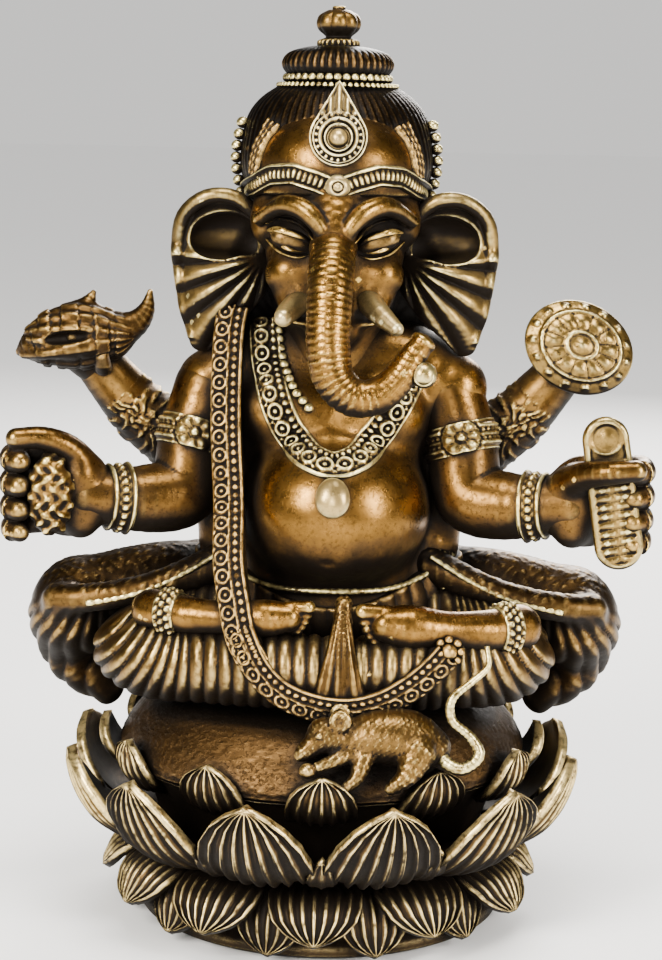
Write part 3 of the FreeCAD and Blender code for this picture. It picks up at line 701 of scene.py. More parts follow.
TRUNK = [(0.5, -28.5, 191.5), (0.3, -34.5, 189.0), (-0.2, -40.5, 182), (-0.4, -44.0, 174), (-0.4, -46.0, 165),
         (1.4, -47.0, 157.4), (6.4, -47.4, 152.8), (12.4, -47.2, 153.2), (17.6, -46.8, 157.4), (21.0, -46.2, 162.8),
         (23.6, -45.6, 166.6)]
TRUNK_FAT = [5.0, 6.1, 6.1, 5.9, 5.8, 5.5, 5.2, 4.8, 4.3, 3.7, 3.2]


def trunk_field(p):
    d, s = limb(p, TRUNK, TRUNK_FAT, 4, along=True)
    ring = np.abs((s / 1.75) % 1 - 0.5) * 2
    front = step(-p[1] - 30, 4, 12)
    furrow = (1 - step(ring, 0.0, 0.6)) * (0.08 + 0.14 * front)
    fold = hoop(p, (0.4, -32.0, 190.6), (0, -0.75, 0.66), 5.2, 1.1)
    tip = hoop(p, (24.2, -45.4, 167.4), (0.55, 0.15, 0.8), 2.2, 1.2)
    return join(join(d + furrow * step(s, 4, 9), fold, 1.0), tip, 1.0)


def ear_field(p):
    """The left ear: a broad flap with a rolled rim, a deep hollow above and pleats fanned below."""
    dx, dz = p[0] - 18.5, p[2] - 186.5
    reach = np.sqrt(dx * dx + dz * dz)
    fan = np.arctan2(dx, -dz)
    pleat = np.abs(np.sin(fan * 10.5 + 0.4)) ** 0.9
    below = 1 - step(p[2] - 0.12 * dx, 183.5, 187.5)
    wave = pleat * below * step(reach, 3, 9)
    q = p.copy()
    q[1] = q[1] + 2.0 * wave - 0.016 * (p[0] - 30) ** 2 + 0.10 * (p[0] - 19)
    flat = q.copy()
    flat[1] = (flat[1] + 7.6) * 2.4 - 7.6
    top = egg(q, (31.0, -8.0, 191.8), (12.0, 3.4, 11.0))
    low = limb(flat, [(28.5, -7.6, 186), (31.6, -7.6, 178), (34.4, -7.6, 169.5), (36.0, -7.6, 163.6)],
               [13.5, 11.2, 6.6, 3.6], 3) * 0.7
    d = join(top, low, 3)
    hollow = egg(q, (30.6, -12.6, 192.0), (9.4, 7.4, 6.4), spin("Y", 8))
    canal = egg(q, (24.5, -9.4, 190.0), (5.0, 4.0, 4.4))
    d = carve(carve(d, hollow, 0.8), canal, 1.2)
    rim = limb(q, [(19.5, -12.0, 189.0), (20.8, -13.2, 196.5), (27.0, -13.4, 202.2), (35.0, -12.8, 202.4),
                   (41.4, -11.4, 197.2), (43.2, -10.0, 188.6), (42.6, -9.0, 180), (41.4, -8.4, 172),
                   (39.0, -8.4, 164.5)], [1.4, 1.8, 2.1, 2.1, 2.0, 1.7, 1.3, 1.1, 1.0], 4)
    d = join(d, rim, 1.0)
    return d * 0.72


def pleats(p, centre, count, depth, toward):
    """How far pleats stand out: ridges fanned round a point in the front view, rounded with sharp valleys."""
    dx = (p[0] - centre[0]) * toward
    drop = np.maximum(centre[1] - p[2], 6.0)
    fan = np.where(dx > 0, np.arctan2(dx, drop), dx / 34.0)
    return depth * (np.abs(np.sin(fan * count)) ** 0.7 - 0.55)


SHINS = {"right": ([(-45, -19, 77), (-32, -30.5, 77.5), (-13, -37.5, 77.5), (8, -38.6, 77)],
                   [11.8, 11.2, 10.2, 9.0]),
         "left": ([(47, -19, 78), (37, -29.5, 78.2), (23, -36.5, 77.8), (8, -37.6, 77.0)],
                  [12.2, 11.8, 10.8, 9.0])}


def leg_field(p, name):
    """A folded leg in its pleated cloth."""
    side = SIDES[name]
    m = mirrored(p, side)
    knee = egg(m, (44.5, -18.5, 77.8), (19.5, 18.5, 12.6), spin("Z", 24))
    thigh = limb(m, [(16, 4, 82), (34, -5, 82), (47, -14, 78.5)], [15, 14.5, 12], 3)
    shin = limb(p, *SHINS[name], 3)
    d = join(join(knee, thigh, 5), shin, 5)
    ridge = pleats(p, (side * 36, 104 if name == "right" else 107), 27, 1.15, side)
    return (d - ridge * step(-p[1], -14, -4) * step(p[2], 62, 70)) * 0.85


FOOT = {"right": ([(-47, -27.5, 91.0), (-37, -34.0, 91.2), (-26, -37.8, 91.4), (-16, -39.8, 92.0),
                   (-9.6, -40.8, 92.6)], [5.6, 5.0, 4.4, 5.0, 3.8]),
        "left": ([(53, -27.5, 88.0), (44, -34.0, 88.4), (33, -38.0, 89.2), (23, -40.2, 90.4),
                  (16.8, -41.4, 91.2)], [6.4, 5.7, 5.2, 6.1, 4.6])}
TOES = ((0.86, 1.75, 0.50), (0.24, 1.65, 0.36), (-0.28, 1.45, 0.33), (-0.72, 1.2, 0.31), (-1.10, 0.9, 0.29))


def foot_field(p, name):
    """A bare foot seen from the sole's edge, big toe uppermost."""
    pts, fat = FOOT[name]
    d = limb(p, pts, fat, 4)
    toward = 1 if name == "right" else -1
    end, size = np.array(pts[-1], float), fat[-1]
    for rise, long, thick in TOES:
        root = end + (0, 0.6 - 0.5 * rise, rise * size * 0.8)
        tip = root + (toward * long * size * 0.8, -0.9, 0.1 * rise * size)
        toe = rod(p, root, tip, size * thick * 0.92, size * thick)[0]
        d = join(d, toe, 0.6)
    return d


def bolster_field(p):
    """Rolled cloth behind the hips that swells out at both sides and hangs past the knees."""
    m = folded(p)
    roll = limb(m, [(0, 22, 82), (20, 20, 85), (38, 10, 91), (52, 5, 91), (68, 4, 86.5)],
                [15, 14.5, 12, 11.5, 12], 3)
    end = egg(m, (72.0, 2, 84.0), (12.2, 15.5, 13.5))
    hang = limb(m, [(74, 4, 80), (74.0, 5, 72), (70.5, 5, 66), (63, 8, 60)], [9.5, 7.5, 6.2, 5.2], 3)
    apron = limb(m, [(29, -8, 101), (40, -12.5, 97.0), (52, -15, 93.4), (66, -15.0, 91.0), (75, -12.0, 90.0)],
                 [5.2, 4.4, 3.9, 3.9, 4.0], 3)
    d = join(join(roll, end, 5), hang, 4)
    under = limb(m, [(34, -14, 90.5), (48, -18.5, 86), (60, -19, 83.6), (70, -17.0, 82.5)], [3.6, 3.8, 3.8, 3.2], 3)
    d = join(carve(d, under, 3.0), apron, 4)
    fan = np.arctan2(m[0] - 62, 98 - m[2])
    ridge = 0.95 * (np.abs(np.sin(fan * 17 + 0.2 * m[1])) ** 0.8 - 0.5)
    ridge = ridge * (1 - step(m[2], 82, 90)) * step(m[0], 56, 64)
    back = 0.7 * np.sin(m[0] * 0.55 + 0.5 * np.sin(m[2] * 0.25)) * step(m[1], 8, 18)
    weave = np.sin(m[0] * 1.5 + 1.6 * np.sin(m[1] * 0.8)) * np.sin(m[1] * 1.5 + 1.6 * np.sin(m[0] * 0.9))
    chased = 0.22 * step(weave, -0.1, 0.35) * step(m[2], 92, 94.5) * (1 - step(m[1], 4, 9))
    return (d - ridge - back - chased) * 0.8


def whole_field(p):
    """What the garland lies on: body, legs and the cloth between them, with the gaps filled."""
    d = join(torso_field(p), leg_field(p, "right"), 8)
    d = join(d, leg_field(p, "left"), 8)
    return join(d, egg(p, (2, -30, 84), (22, 19, 13)), 8)


# ---------------------------------------------------------------- relief patterns, heights in millimetres
def bar(x, centre, half, high):
    return high * half_round(((x - centre) / half) ** 2)


def dots(s, x, pitch, centre, r, high):
    ds = (s % pitch) - pitch / 2
    return high * half_round((ds * ds + (x - centre) ** 2) / (r * r))


def loops(s, x, pitch, centre, big, small, high):
    ds = (s % pitch) - pitch / 2
    far = np.sqrt(ds * ds + (x - centre) ** 2)
    return high * half_round(((far - big) / small) ** 2)


def highest(*heights):
    out = heights[0]
    for h in heights[1:]:
        out = np.maximum(out, h)
    return out


def garland_relief(s, w):
    x = w * 4.6
    return highest(0.35 + 0 * s, bar(x, -4.1, 0.6, 1.3), dots(s, x, 2.35, -2.2, 1.15, 1.5),
                   bar(x, -0.35, 0.55, 1.25), loops(s, x, 4.9, 2.0, 1.75, 0.52, 1.35),
                   dots(s, x, 4.9, 2.0, 0.75, 1.1), dots(s + 2.45, x, 4.9, 4.1, 0.7, 0.9))


def necklace_relief(s, w):
    x = w * 4.4
    return highest(0.3 + 0 * s, bar(x, 3.9, 0.5, 1.5), loops(s, x, 4.6, 0.9, 1.75, 0.62, 2.2),
                   dots(s, x, 4.6, 0.9, 0.95, 1.9), dots(s + 2.3, x, 4.6, 2.6, 0.7, 1.5),
                   dots(s, x, 2.3, -2.4, 1.05, 2.0), bar(x, -3.9, 0.45, 1.2))


def bracelet_relief(s, w):
    x = w * 3.1
    return highest(0.6 + 0 * s, bar(x, -2.55, 0.55, 1.7), bar(x, 2.55, 0.55, 1.7), dots(s, x, 2.3, 0, 1.1, 1.7))


ARMLET_FRONT = 21.0                       # millimetres along the band to its rosette
ROSETTE = 5.2


def armlet_relief(s, w):
    x = w * 4.2
    past = s - ARMLET_FRONT
    flower = np.sqrt(past ** 2 + x * x)
    leaves = np.abs(np.cos(np.arctan2(x, past) * 4)) * np.clip(1 - abs(flower - 3.4) / 1.9, 0, 1)
    rosette = np.where(flower < ROSETTE, 1.2 + 0.7 * leaves, 0)
    rosette = highest(rosette, 2.3 * half_round((flower / 1.6) ** 2))
    bars = highest(bar(x, -2.4, 0.65, 1.3), bar(x, 0, 0.5, 0.9), bar(x, 2.4, 0.65, 1.3))
    ticks = dots(s, x, 1.9, -1.2, 0.6, 1.0) + dots(s, x, 1.9, 1.2, 0.6, 1.0)
    return np.where(np.abs(past) < ROSETTE, rosette, highest(0.4 + 0 * s, bars, ticks)) * np.ones_like(w)


def headband_relief(s, w):
    x = w * 2.9
    rib = np.sqrt(np.abs(np.sin(math.pi * s / 1.55)))
    return highest(0.2 + 0 * s, bar(x, -2.3, 0.62, 1.7), bar(x, 2.3, 0.55, 1.4), bar(x, 0, 1.75, 1.25) * rib)


def strand_relief(s, w):
    x = w * 2.8
    twist = 0.12 * np.sin(s * 3.2 + x)
    return highest(0.2 + 0 * s, *[bar(x, centre, 0.95, 1.5) + twist for centre in (-1.85, 0, 1.85)])


def anklet_relief(s, w):
    x = w * 3.0
    return highest(0.5 + 0 * s, dots(s, x, 2.2, -1.7, 1.0, 1.5), dots(s + 1.1, x, 2.2, 0.2, 1.0, 1.6),
                   dots(s, x, 2.2, 2.0, 0.9, 1.3))


# ---------------------------------------------------------------- petals and plaques
def petal(spine, width, ribs, rib_high, thick, dome, across=45, along=36, seed=0, face=1):
    """One petal towards -Y, from an (r, z) spine. face is 1 if its ribs look down and out, -1 if up."""
    rng = np.random.default_rng(seed)
    across, along = int(across / COARSE) // 2 * 2 + 1, int(along / COARSE)
    line = even(smooth([[r, 0, z] for r, z in spine], 8), 0.2)
    v = np.linspace(0, 1, along) ** 0.92
    at = np.stack([np.interp(v, np.linspace(0, 1, len(line)), line[:, k]) for k in (0, 2)], 1)
    way = np.gradient(at, axis=0)
    way /= np.linalg.norm(way, axis=1, keepdims=True)
    out = face * np.stack([way[:, 1], -way[:, 0]], 1)
    half = width * np.interp(v, [0, 0.15, 0.35, 0.55, 0.72, 0.85, 0.94, 1.0],
                             [0.62, 0.84, 1.0, 0.99, 0.88, 0.66, 0.38, 0.05])
    u = np.linspace(-1, 1, across)
    uu, vv = u[None, :], v[:, None]
    wobble = 0.25 * math.pi * rng.uniform(-0.3, 0.3)
    ridge = (0.5 + 0.5 * np.cos(math.pi * ribs * uu + wobble)) ** 2.6
    swell = dome * (1 - uu * uu) * np.sin(math.pi * np.clip(vv, 0, 1) ** 0.9)
    rim = peak(np.abs(uu), 0.94, 0.06) + peak(vv, 0.985, 0.03)
    ribbed = rib_high * ridge * step(vv, 0.04, 0.2) * (1 - step(vv, 0.9, 1.0))
    high = swell + ribbed + 0.55 * np.minimum(rim, 1)
    wall = thick * (1 - 0.45 * np.abs(uu) ** 3) + 0 * vv
    sides = []
    for lift in (high, (swell - wall)[:, ::-1]):
        uv = uu if lift is high else uu[:, ::-1]
        r = at[:, :1] + out[:, :1] * lift
        z = at[:, 1:] + out[:, 1:] * lift
        angle = uv * (half[:, None] / at[:, :1])
        sides.append(np.stack([r * np.sin(angle), -r * np.cos(angle), z], -1))
    verts, faces = ring_stack(np.concatenate(sides, 1))
    return verts, faces[:, ::face]


def around(mesh, first, count=PETALS, jitter=1.2, seed=1):
    """Copies of a mesh turned round Z at even steps, each a degree or so off, as hand-finished castings are."""
    rng = np.random.default_rng(seed)
    verts, faces = mesh
    out = []
    for i in range(count):
        turn = spin("Z", first + 360.0 / count * i + rng.uniform(-jitter, jitter))
        out.append((verts @ turn.T * (1 + rng.uniform(-0.012, 0.012) * np.array([1, 1, 0])), faces))
    return out


def bead_ring(centre, wide, deep, count, r, segments=14):
    """Beads round a flat oval, the first towards -Y."""
    x, y, z = centre
    turns = np.linspace(0, 2 * math.pi, count, endpoint=False)
    return [bead((x + wide * math.sin(a), y - deep * math.cos(a), z), r, segments=segments) for a in turns]


def plaque(field, centre, outline, relief, rings=26, spokes=72, sink=1.5):
    """A closed relief plate on a field. outline(a) is its radius, relief(r, a, share) its height."""
    a = np.linspace(0, 2 * math.pi, int(spokes / COARSE) // 2 * 2, endpoint=False)
    share = np.linspace(0.01, 1, int(rings / COARSE))[:, None]
    r = share * outline(a)[None, :]
    x, z = centre[0] + r * np.sin(a), centre[2] + r * np.cos(a)
    pts = np.stack([x, np.full_like(x, centre[1]), z], -1).reshape(-1, 3)
    for _ in range(6):
        gap = field(pts.T.astype(np.float32))
        pts[:, 1] += np.clip(gap, -3, 3) * 0.9
    normal = slope(field, pts)
    high = (relief(r, a[None, :], share) + 0 * r).reshape(-1, 1)
    front = (pts + normal * high).reshape(*r.shape, 3)
    behind = (pts - normal * sink).reshape(*r.shape, 3)[::-1]
    return ring_stack(np.concatenate([front, behind]))


def circle_path(centre, axis, radius, count=64, first=0.0, turn=360.0):
    """Points round a circle; the first lies towards -Y."""
    axis = np.array(axis, float) / np.linalg.norm(axis)
    front = np.array([0, -1.0, 0]) - axis * -axis[1]
    front /= np.linalg.norm(front)
    side = np.cross(axis, front)
    a = np.radians(first + np.linspace(0, turn, count))[:, None]
    return np.array(centre) + radius * (front * np.cos(a) + side * np.sin(a))


# ---------------------------------------------------------------- the pedestal
def make_pedestal():
    base = profile_curve([(0, 1.5), (25, 1.5), (49.5, 1.5), (51.3, 2.2), (51.6, 3.8), (50.6, 5.2), (48.6, 8.5),
                          (46.2, 14), (44.8, 20.5), (45.8, 26), (49.5, 36), (55.2, 44.4), (55.4, 45.9), (30, 46),
                          (0, 46)], 0.9 * COARSE)
    flute = lambda a, z, r: -0.5 * np.abs(np.cos(a * 36)) * step(z, 4.8, 7) * (1 - step(z, 18, 20))
    gather("pedestal_core", [lathe(base, int(432 / COARSE), wave=flute)], LEAF, ["base_body"])
    rope = tube(circle_path((0, 0, 21.5), (0, 0, 1), 46.5, int(720 / COARSE))[:-1], 1.15, 10, closed=True,
                wave=lambda s, a: 1 + 0.18 * np.cos(s * 1.9 + a * 2))
    gather("waist_rope", [rope], TRIM, ["waist_ring"])
    big = petal([(44.8, 25.0), (54, 25.6), (63.4, 31), (69.8, 39.6), (73.6, 48.9)],
                15.4, 8, 1.35, 2.6, 3.0, 65, 44)
    bud = petal([(46, 23.4), (55, 24.2), (61.6, 27.4), (65.4, 33.5)], 4.4, 3, 0.5, 1.8, 1.3, 15, 22, seed=2)
    gather("large_petals", around(big, 15.0) + around(bud, 0.0, seed=5), LEAF, ["outer_petals"])
    small = petal([(52.6, 40), (57.6, 43.6), (60.8, 48.6), (61.8, 54.6)], 9.4, 6, 1.0, 2.0, 1.9, 53, 34, seed=3)
    gather("small_petals", around(small, 0.0, seed=7), LEAF, ["inner_petals"])
    low = petal([(45.2, 20.4), (51, 19.6), (57.2, 16.6), (60.4, 12.4), (62.6, 8.8)], 12.6, 8, 1.2, 2.2, 1.6, 53, 34,
                seed=4, face=-1)
    between = petal([(45.4, 19.6), (50, 17.4), (53.6, 12), (55.4, 6.5), (57.2, 3.6)], 9.5, 6, 1.0, 2.0, 1.2, 37, 28,
                    seed=9, face=-1)
    gather("hanging_petals", around(low, 0.0, seed=11) + around(between, 15.0, seed=13), LEAF, ["lower_petals"])
    seat = profile_curve([(0, 46.1), (30, 46.1), (55, 46.2), (57.6, 47.4), (57.2, 50.4), (54.2, 55.4), (49.6, 60),
                          (44.4, 62.8), (38, 63.7), (20, 63.9), (0, 64)], 0.55 * COARSE)

    def hide(a, z, r):
        pebbles = np.sin(a * 70 + 2.6 * np.sin(z * 1.3 + 2 * np.sin(a * 11)))
        return 0.17 * pebbles * np.sin(z * 3.6 + 2.4 * np.sin(a * 13) + 1.1 * np.sin(a * 31)) * step(r, 36, 44)

    gather("seat", [lathe(seat, int(620 / COARSE), wave=hide)], HIDE, ["seat_cushion"])


# ---------------------------------------------------------------- the body
WAIST_X, WAIST_Y = 1.8, -3.0


def belt_height(x, y):
    """Height of the waist cord round the body: lowest in front."""
    forward = np.cos(np.arctan2(x - WAIST_X, -(y - WAIST_Y)))
    return 102.5 - 5.5 * forward - 5.0 * np.maximum(forward, 0) ** 2


def waist_cloth_field(p):
    """A folded cloth close round the hips, from the cord down."""
    folds = 0.8 * np.abs(np.sin(np.arctan2(p[0] - 3.0, -(p[1] + 3.0)) * 15 + 0.05 * p[2])) ** 0.7
    d = torso_field(p) - 0.9 - folds
    return within(d, np.maximum(p[2] - belt_height(p[0], p[1]), 70 - p[2]), 0.8)


def falling_folds_field(p):
    """The end of the waist cloth: three folds that spread as they fall between the feet."""
    folds = []
    for x in (-3.6, 0.0, 3.4):
        line = [(5.2, -41, 96.5), (4.6 + 0.4 * x, -45.6, 86), (4.4 + x, -47.2, 77), (4.8 + 1.5 * x, -46.6, 68.5)]
        folds.append(limb(p, line, [1.9, 2.0, 2.3, 2.7], 3))
    fan = (p[0] - 4.8) / (101 - p[2])
    return blend_all(folds, 0.7) - 0.28 * np.abs(np.sin(fan * 34))


def make_body():
    sculpt("body", torso_field, (-44, -42, 66), (46, 30, 170), 0.85, SKIN, ["torso"])
    for name, side in SIDES.items():
        low = (-86, -60, 50) if name == "right" else (-10, -60, 50)
        high = (20, 28, 104) if name == "right" else (88, 28, 104)
        sculpt(name + "_thigh_cloth", lambda p, n=name: leg_field(p, n), low, high, 0.62, SHADED_PLEAT_BRASS, [name + "_leg"])
        span = ((-56, -50, 82), (8, -20, 102)) if name == "right" else ((2, -52, 78), (64, -18, 102))
        sculpt(name + "_bare_foot", lambda p, n=name: foot_field(p, n), *span, 0.5, SKIN, [name + "_foot"])
    sculpt("rolled_cloth", bolster_field, (-90, -24, 50), (90, 42, 108), 0.7, CLOTH, ["bolster"])
    hems = []
    for side in SIDES.values():
        line = smooth([(side * 29, -13.5, 104.5), (side * 40, -16.2, 98.2), (side * 52, -18.2, 93.2),
                       (side * 66, -18.0, 90.2)], 12)
        line = even(line, 0.6)
        hems.append(tube(line, np.linspace(0.7, 1.25, len(line)), 10, wave=lambda s, a: 1 + 0.1 * np.sin(s * 2.6)))
    gather("cloth_hems", hems, TRIM)
    sculpt("waist_cloth", waist_cloth_field, (-42, -44, 66), (46, 32, 112), 0.6, CLOTH)
    sculpt("cloth_fall", falling_folds_field, (-6, -54, 62), (18, -34, 102), 0.5, CLOTH, ["front_pleat"])


# ---------------------------------------------------------------- arms, hands and what they hold
def make_arms():
    for name, side in SIDES.items():
        flip = lambda f, s=side: (lambda p: f(mirrored(p, s)))
        span = lambda low, high, s=side: ((low, high) if s == LEFT
                                          else ((-high[0], *low[1:]), (-low[0], *high[1:])))
        sculpt(name + "_forearm", flip(front_arm_field), *span((22, -32, 106), (72, 8, 161)), 0.8, SHADED_ARM_BRASS,
               [name + "_front_arm"])
        sculpt(name + "_chased_arm", flip(rear_arm_field), *span((22, -6, 116), (74, 18, 164)), 0.55, GOLD,
               [name + "_rear_arm"])
        hand = lambda p, s=side: join(fist_field(p), thumb_field(p, s), 1.5)
        sculpt(name + "_fist", flip(hand), *span((52, -42, 105), (94, -8, 143)), 0.46, SHADED_ARM_BRASS,
               [name + "_front_hand"])
        sculpt(name + "_upper_hand", flip(rear_hand_field), *span((54, -14, 143), (84, 12, 172)), 0.55, CLOTH,
               [name + "_rear_hand"])
        arm = flip(front_arm_field)
        cuff = circle_path((side * 57.5, -18.8, 120.4), (side * 11, -4.5, 0.6), 8.6, 90, 150, BAND_TURN)
        gather(name + "_cuff", [strip(cuff, 6.2, bracelet_relief, arm, 0.38)], TRIM, [name + "_bracelet"])
        upper = circle_path((side * 37, -6.5, 136.0), (side * 3.5, -3.5, -14), 10.2, 90, -120 * side,
                            BAND_TURN * side)
        gather(name + "_arm_band", [strip(upper, 8.4, armlet_relief, arm, 0.40)], TRIM, [name + "_armlet"])


def sweet_field(p):
    q = p - col((-74.0, -29.5, 123.5))
    cells = np.sin(q[0] * 1.35 + 0.6 * np.sin(q[2])) * np.sin(q[2] * 1.25)
    cells = cells + np.sin(q[1] * 1.4 + q[2] * 0.6) * 0.5
    return egg(p, (-74.5, -29.0, 122.5), (6.2, 5.8, 11.4)) - 0.6 * cells


LEAF_TURN, LEAF_MIDDLE = spin("Y", -9.2), (76.6, -31.0, 126.4)


def leaf_field(p):
    """A long leaf with a sunk, ribbed face and a flower at its top."""
    q = LEAF_TURN.T @ (p - col(LEAF_MIDDLE))
    bone = rod(q, (0, 0, -14.5), (0, 0, 14.5), 6.6, 6.3)[0]
    body = within(bone, np.abs(q[1]) - 1.9, 1.4)
    dish = 1 - step(1 + bone / 6.4, 0.68, 0.86)
    rib = 0.75 * np.abs(np.sin(q[2] * 1.3)) ** 0.8 * (1 - 0.6 * peak(q[0], 0, 0.7))
    low_part = 1 - step(q[2], 8.0, 10.0)
    knob = np.sqrt(q[0] ** 2 + (q[2] - 15.0) ** 2)
    flower = 0.7 * np.clip(1 - (knob / 3.2) ** 2, 0, 1) + 0.5 * peak(knob, 4.2, 0.6)
    relief = -0.9 * dish + dish * (rib * low_part + flower)
    return body - relief * step(-q[1], 0, 1.5)


def shell_field(p):
    """The conch: a whorled shell with a horn, a wing and an open mouth."""
    d, s = limb(p, [(-86.0, -4.5, 158.4), (-81.5, -4.8, 160.4), (-75.5, -4.6, 162.4), (-69.0, -4.0, 163.0),
                    (-62.5, -2.5, 163.2)], [1.4, 4.6, 7.4, 8.6, 6.4], 3, along=True)
    turns = np.arctan2(p[2] - 163, p[1] + 4)
    whorl = 0.9 * np.abs(np.sin(s * 0.62 + turns * 0.5)) ** 0.8
    ribs = 0.3 * np.sin(turns * 14)
    horn = limb(p, [(-71, -4, 167), (-68.2, -3, 171.0), (-66.0, -2.5, 175.0)], [4.0, 2.6, 0.8], 3)
    wing = limb(p, [(-60, -2.5, 164), (-54.5, -2, 166.5), (-51.4, -1.4, 170.4), (-50.4, -1, 175.4)],
                [5.4, 3.8, 2.4, 0.8], 3)
    lip = limb(p, [(-85.0, -6.5, 157.6), (-78, -11.2, 158.6), (-69, -12.2, 160.2), (-62, -9.5, 161)],
               [0.9, 1.6, 1.8, 1.2], 3)
    mouth = egg(p, (-72.5, -13.0, 163.0), (6.5, 3.4, 1.9), spin("Y", -8))
    d = carve(d - (whorl + ribs) * step(s, 4, 8), mouth, 1.0)
    return join(join(join(d, horn, 2.0), wing, 2.5), lip, 1.2)


DISC_TILT, DISC_MIDDLE = spin("Y", 22) @ spin("X", -16), (68.8, -7.5, 163.0)
DISC_STRETCH = 1.22


def disc_field(p):
    """The lotus disc: rings of petals and beads on both faces of a flat oval."""
    q = DISC_TILT.T @ (p - col(DISC_MIDDLE))
    across = q[0] / DISC_STRETCH
    far = np.sqrt(across ** 2 + q[2] ** 2)
    turns = np.arctan2(q[2], across)
    petals = 0.7 * np.abs(np.sin(turns * 6)) ** 0.6 * peak(far, 6.8, 2.0)
    rings = 0.7 * peak(far, 9.4, 0.45) + 0.9 * peak(far, 0, 1.6) + 0.6 * peak(far, 3.6, 0.5)
    beads = 0.7 * np.clip(np.sin(turns * 15), 0, 1) * peak(far, 11.2, 0.8)
    relief = petals + rings + beads - 0.3
    return egg(q, (0, 0, 0), (15.6, 4.4, 12.8)) - relief * step(np.abs(q[1]), 0.5, 1.5)


def make_held():
    sculpt("textured_sweet", sweet_field, (-85, -40, 109), (-63, -20, 138), 0.5, GOLD, ["sweet_ball"])
    sculpt("ribbed_leaf", leaf_field, (62, -38, 101), (92, -24, 151), 0.48, TRIM, ["palm_leaf"])
    sculpt("horned_shell", shell_field, (-90, -18, 150), (-45, 10, 180), 0.48, CLOTH, ["conch"])
    sculpt("embossed_disc", disc_field, (50, -18, 146), (88, 4, 181), 0.45, TRIM, ["lotus_disc"])


# ---------------------------------------------------------------- the head
TUSKS = {"right": ([(-8.5, -26, 175.5), (-11.2, -31, 173.2), (-12.4, -34.6, 172.0)], [3.3, 3.0, 2.5]),
         "left": ([(10, -26, 176), (13.2, -32, 173.0), (17.4, -37.6, 169.8)], [3.4, 3.0, 1.9])}
# each lid or crease as (x, z) points from the inner corner of the eye, and its thickness
LIDS = (([(5.6, 189.7), (8.4, 192.2), (11.6, 193.7), (15.0, 194.4), (18.0, 194.2)], 1.1),
        ([(5.6, 189.9), (9.2, 189.3), (13.2, 190.4), (17.8, 194.2)], 0.65),
        ([(5.2, 191.8), (8.2, 195.2), (11.8, 197.0), (15.4, 197.4), (18.8, 196.0)], 0.6),
        ([(6.4, 188.2), (10.0, 187.2), (14.6, 188.4), (18.6, 191.6)], 0.5))


def make_head():
    sculpt("face", head_field, (-26, -42, 142), (27, 24, 232), 0.55, SKIN, ["head"])
    sculpt("long_trunk", trunk_field, (-10, -56, 144), (32, -20, 204), 0.5, SKIN, ["trunk"])
    for name, side in SIDES.items():
        ear = lambda p, s=side: ear_field(mirrored(p - col((AXIS_X, 0, 0)), s))
        span = ((13, -20, 155), (49, 5, 208)) if side == LEFT else ((-47, -20, 155), (-11, 5, 208))
        sculpt(name + "_flap", ear, *span, 0.48, EAR, [name + "_ear"])
        line, fat = TUSKS[name]
        tusk = lambda p, l=line, f=fat: limb(p, l, f, 3)
        low, high = np.min(line, 0) - 5, np.max(line, 0) + 5
        sculpt(name + "_short_tusk", tusk, low, high, 0.45, PALE, [name + "_tusk"])
    sweet = bead((24.4, -47.4, 159.0), 3.5, (1, 1, 1), 28)
    ring = tube(circle_path((24.4, -49.6, 158.8), (0, 1, -0.1), 2.3, 40)[:-1], 0.4, 6, closed=True)
    gather("sweet_in_trunk", [sweet, ring], TRIM, ["trunk_sweet"])

def make_eyes():
    lids = []
    for side in SIDES.values():
        for points, r in LIDS:
            on_face = drape(head_field, [(AXIS_X + side * x, z) for x, z in points], start=-50)
            line = even(smooth(on_face, 8), 0.35)
            taper = r * (0.35 + 0.65 * np.sin(np.linspace(0.15, math.pi - 0.15, len(line))))
            lids.append(tube(line + (0, -0.15, 0), taper, 8))
    gather("eyelids", lids, SKIN)
    eyes = []
    for side in SIDES.values():
        verts, faces = bead((0, 0, 0), 1.0, np.add(EYE_SIZE, 0.25), 40)
        middle = (AXIS_X + side * EYE[0], EYE[1], EYE[2])
        eyes.append((verts @ spin("Y", -EYE_TILT * side).T + middle, faces))
        front = (middle[0] - 0.4 * side, EYE[1] - EYE_SIZE[1] - 0.12, middle[2] - 0.2)
        iris = circle_path(front, (0, 1, 0), 1.35, 32)
        eyes.append(tube(iris[:-1], 0.28, 6, closed=True))
    gather("eyes", eyes, CLOTH)


def hair_field(p):
    """The dark hair: a domed cap, locks down the nape and an arch cut out over the face."""
    q = p - col((AXIS_X, 0, 0))
    d = join(egg(q, (0, 0.5, 212), (26.4, 24.5, 18)), egg(q, (0, 3, 220.5), (25.4, 22.6, 15.6)), 4)
    d = join(d, egg(q, (0, 3, 196), (22.5, 19.5, 15)), 5)
    nape = limb(q, [(0, 3, 192), (0, 5, 178), (0, 7, 166)], [20.5, 19.0, 14], 3)
    d = join(d, nape, 5)
    m = folded(q)
    d = join(d, limb(m, [(12, 5, 194), (18, 6, 180), (21.5, 7, 168)], [10, 9, 6.5], 3), 4)
    arch = within(egg(q, (0, -25, 207), (23.0, 25, 19.5)), egg(q, (0, -25, 207), (26.0, 30, 17.6)), 3)
    turns = np.arctan2(q[0], -(q[1] - 3))
    strand = np.abs(np.sin(turns * 34 + 0.15 * p[2]))
    return carve(d - 0.28 * strand, arch, 1.0)


def plate_field(p):
    """The forehead above the headband."""
    q = p - col((AXIS_X, 0, 0))
    return join(egg(q, (0, -4.5, 205), (24.0, 25.0, 22.0)), egg(q, (0, -5.5, 213.5), (22.4, 22.4, 13.4)), 5)


def scalp_field(p):
    """What the headband and the jewel lie on."""
    return join(plate_field(p), hair_field(p), 1.0)


def jewel_bed_field(p):
    """The scalp, filled out a little in front so that the whole jewel lies flat."""
    return join(scalp_field(p), egg(p, (1.0, -5, 214), (21, 23, 23.3)), 4)


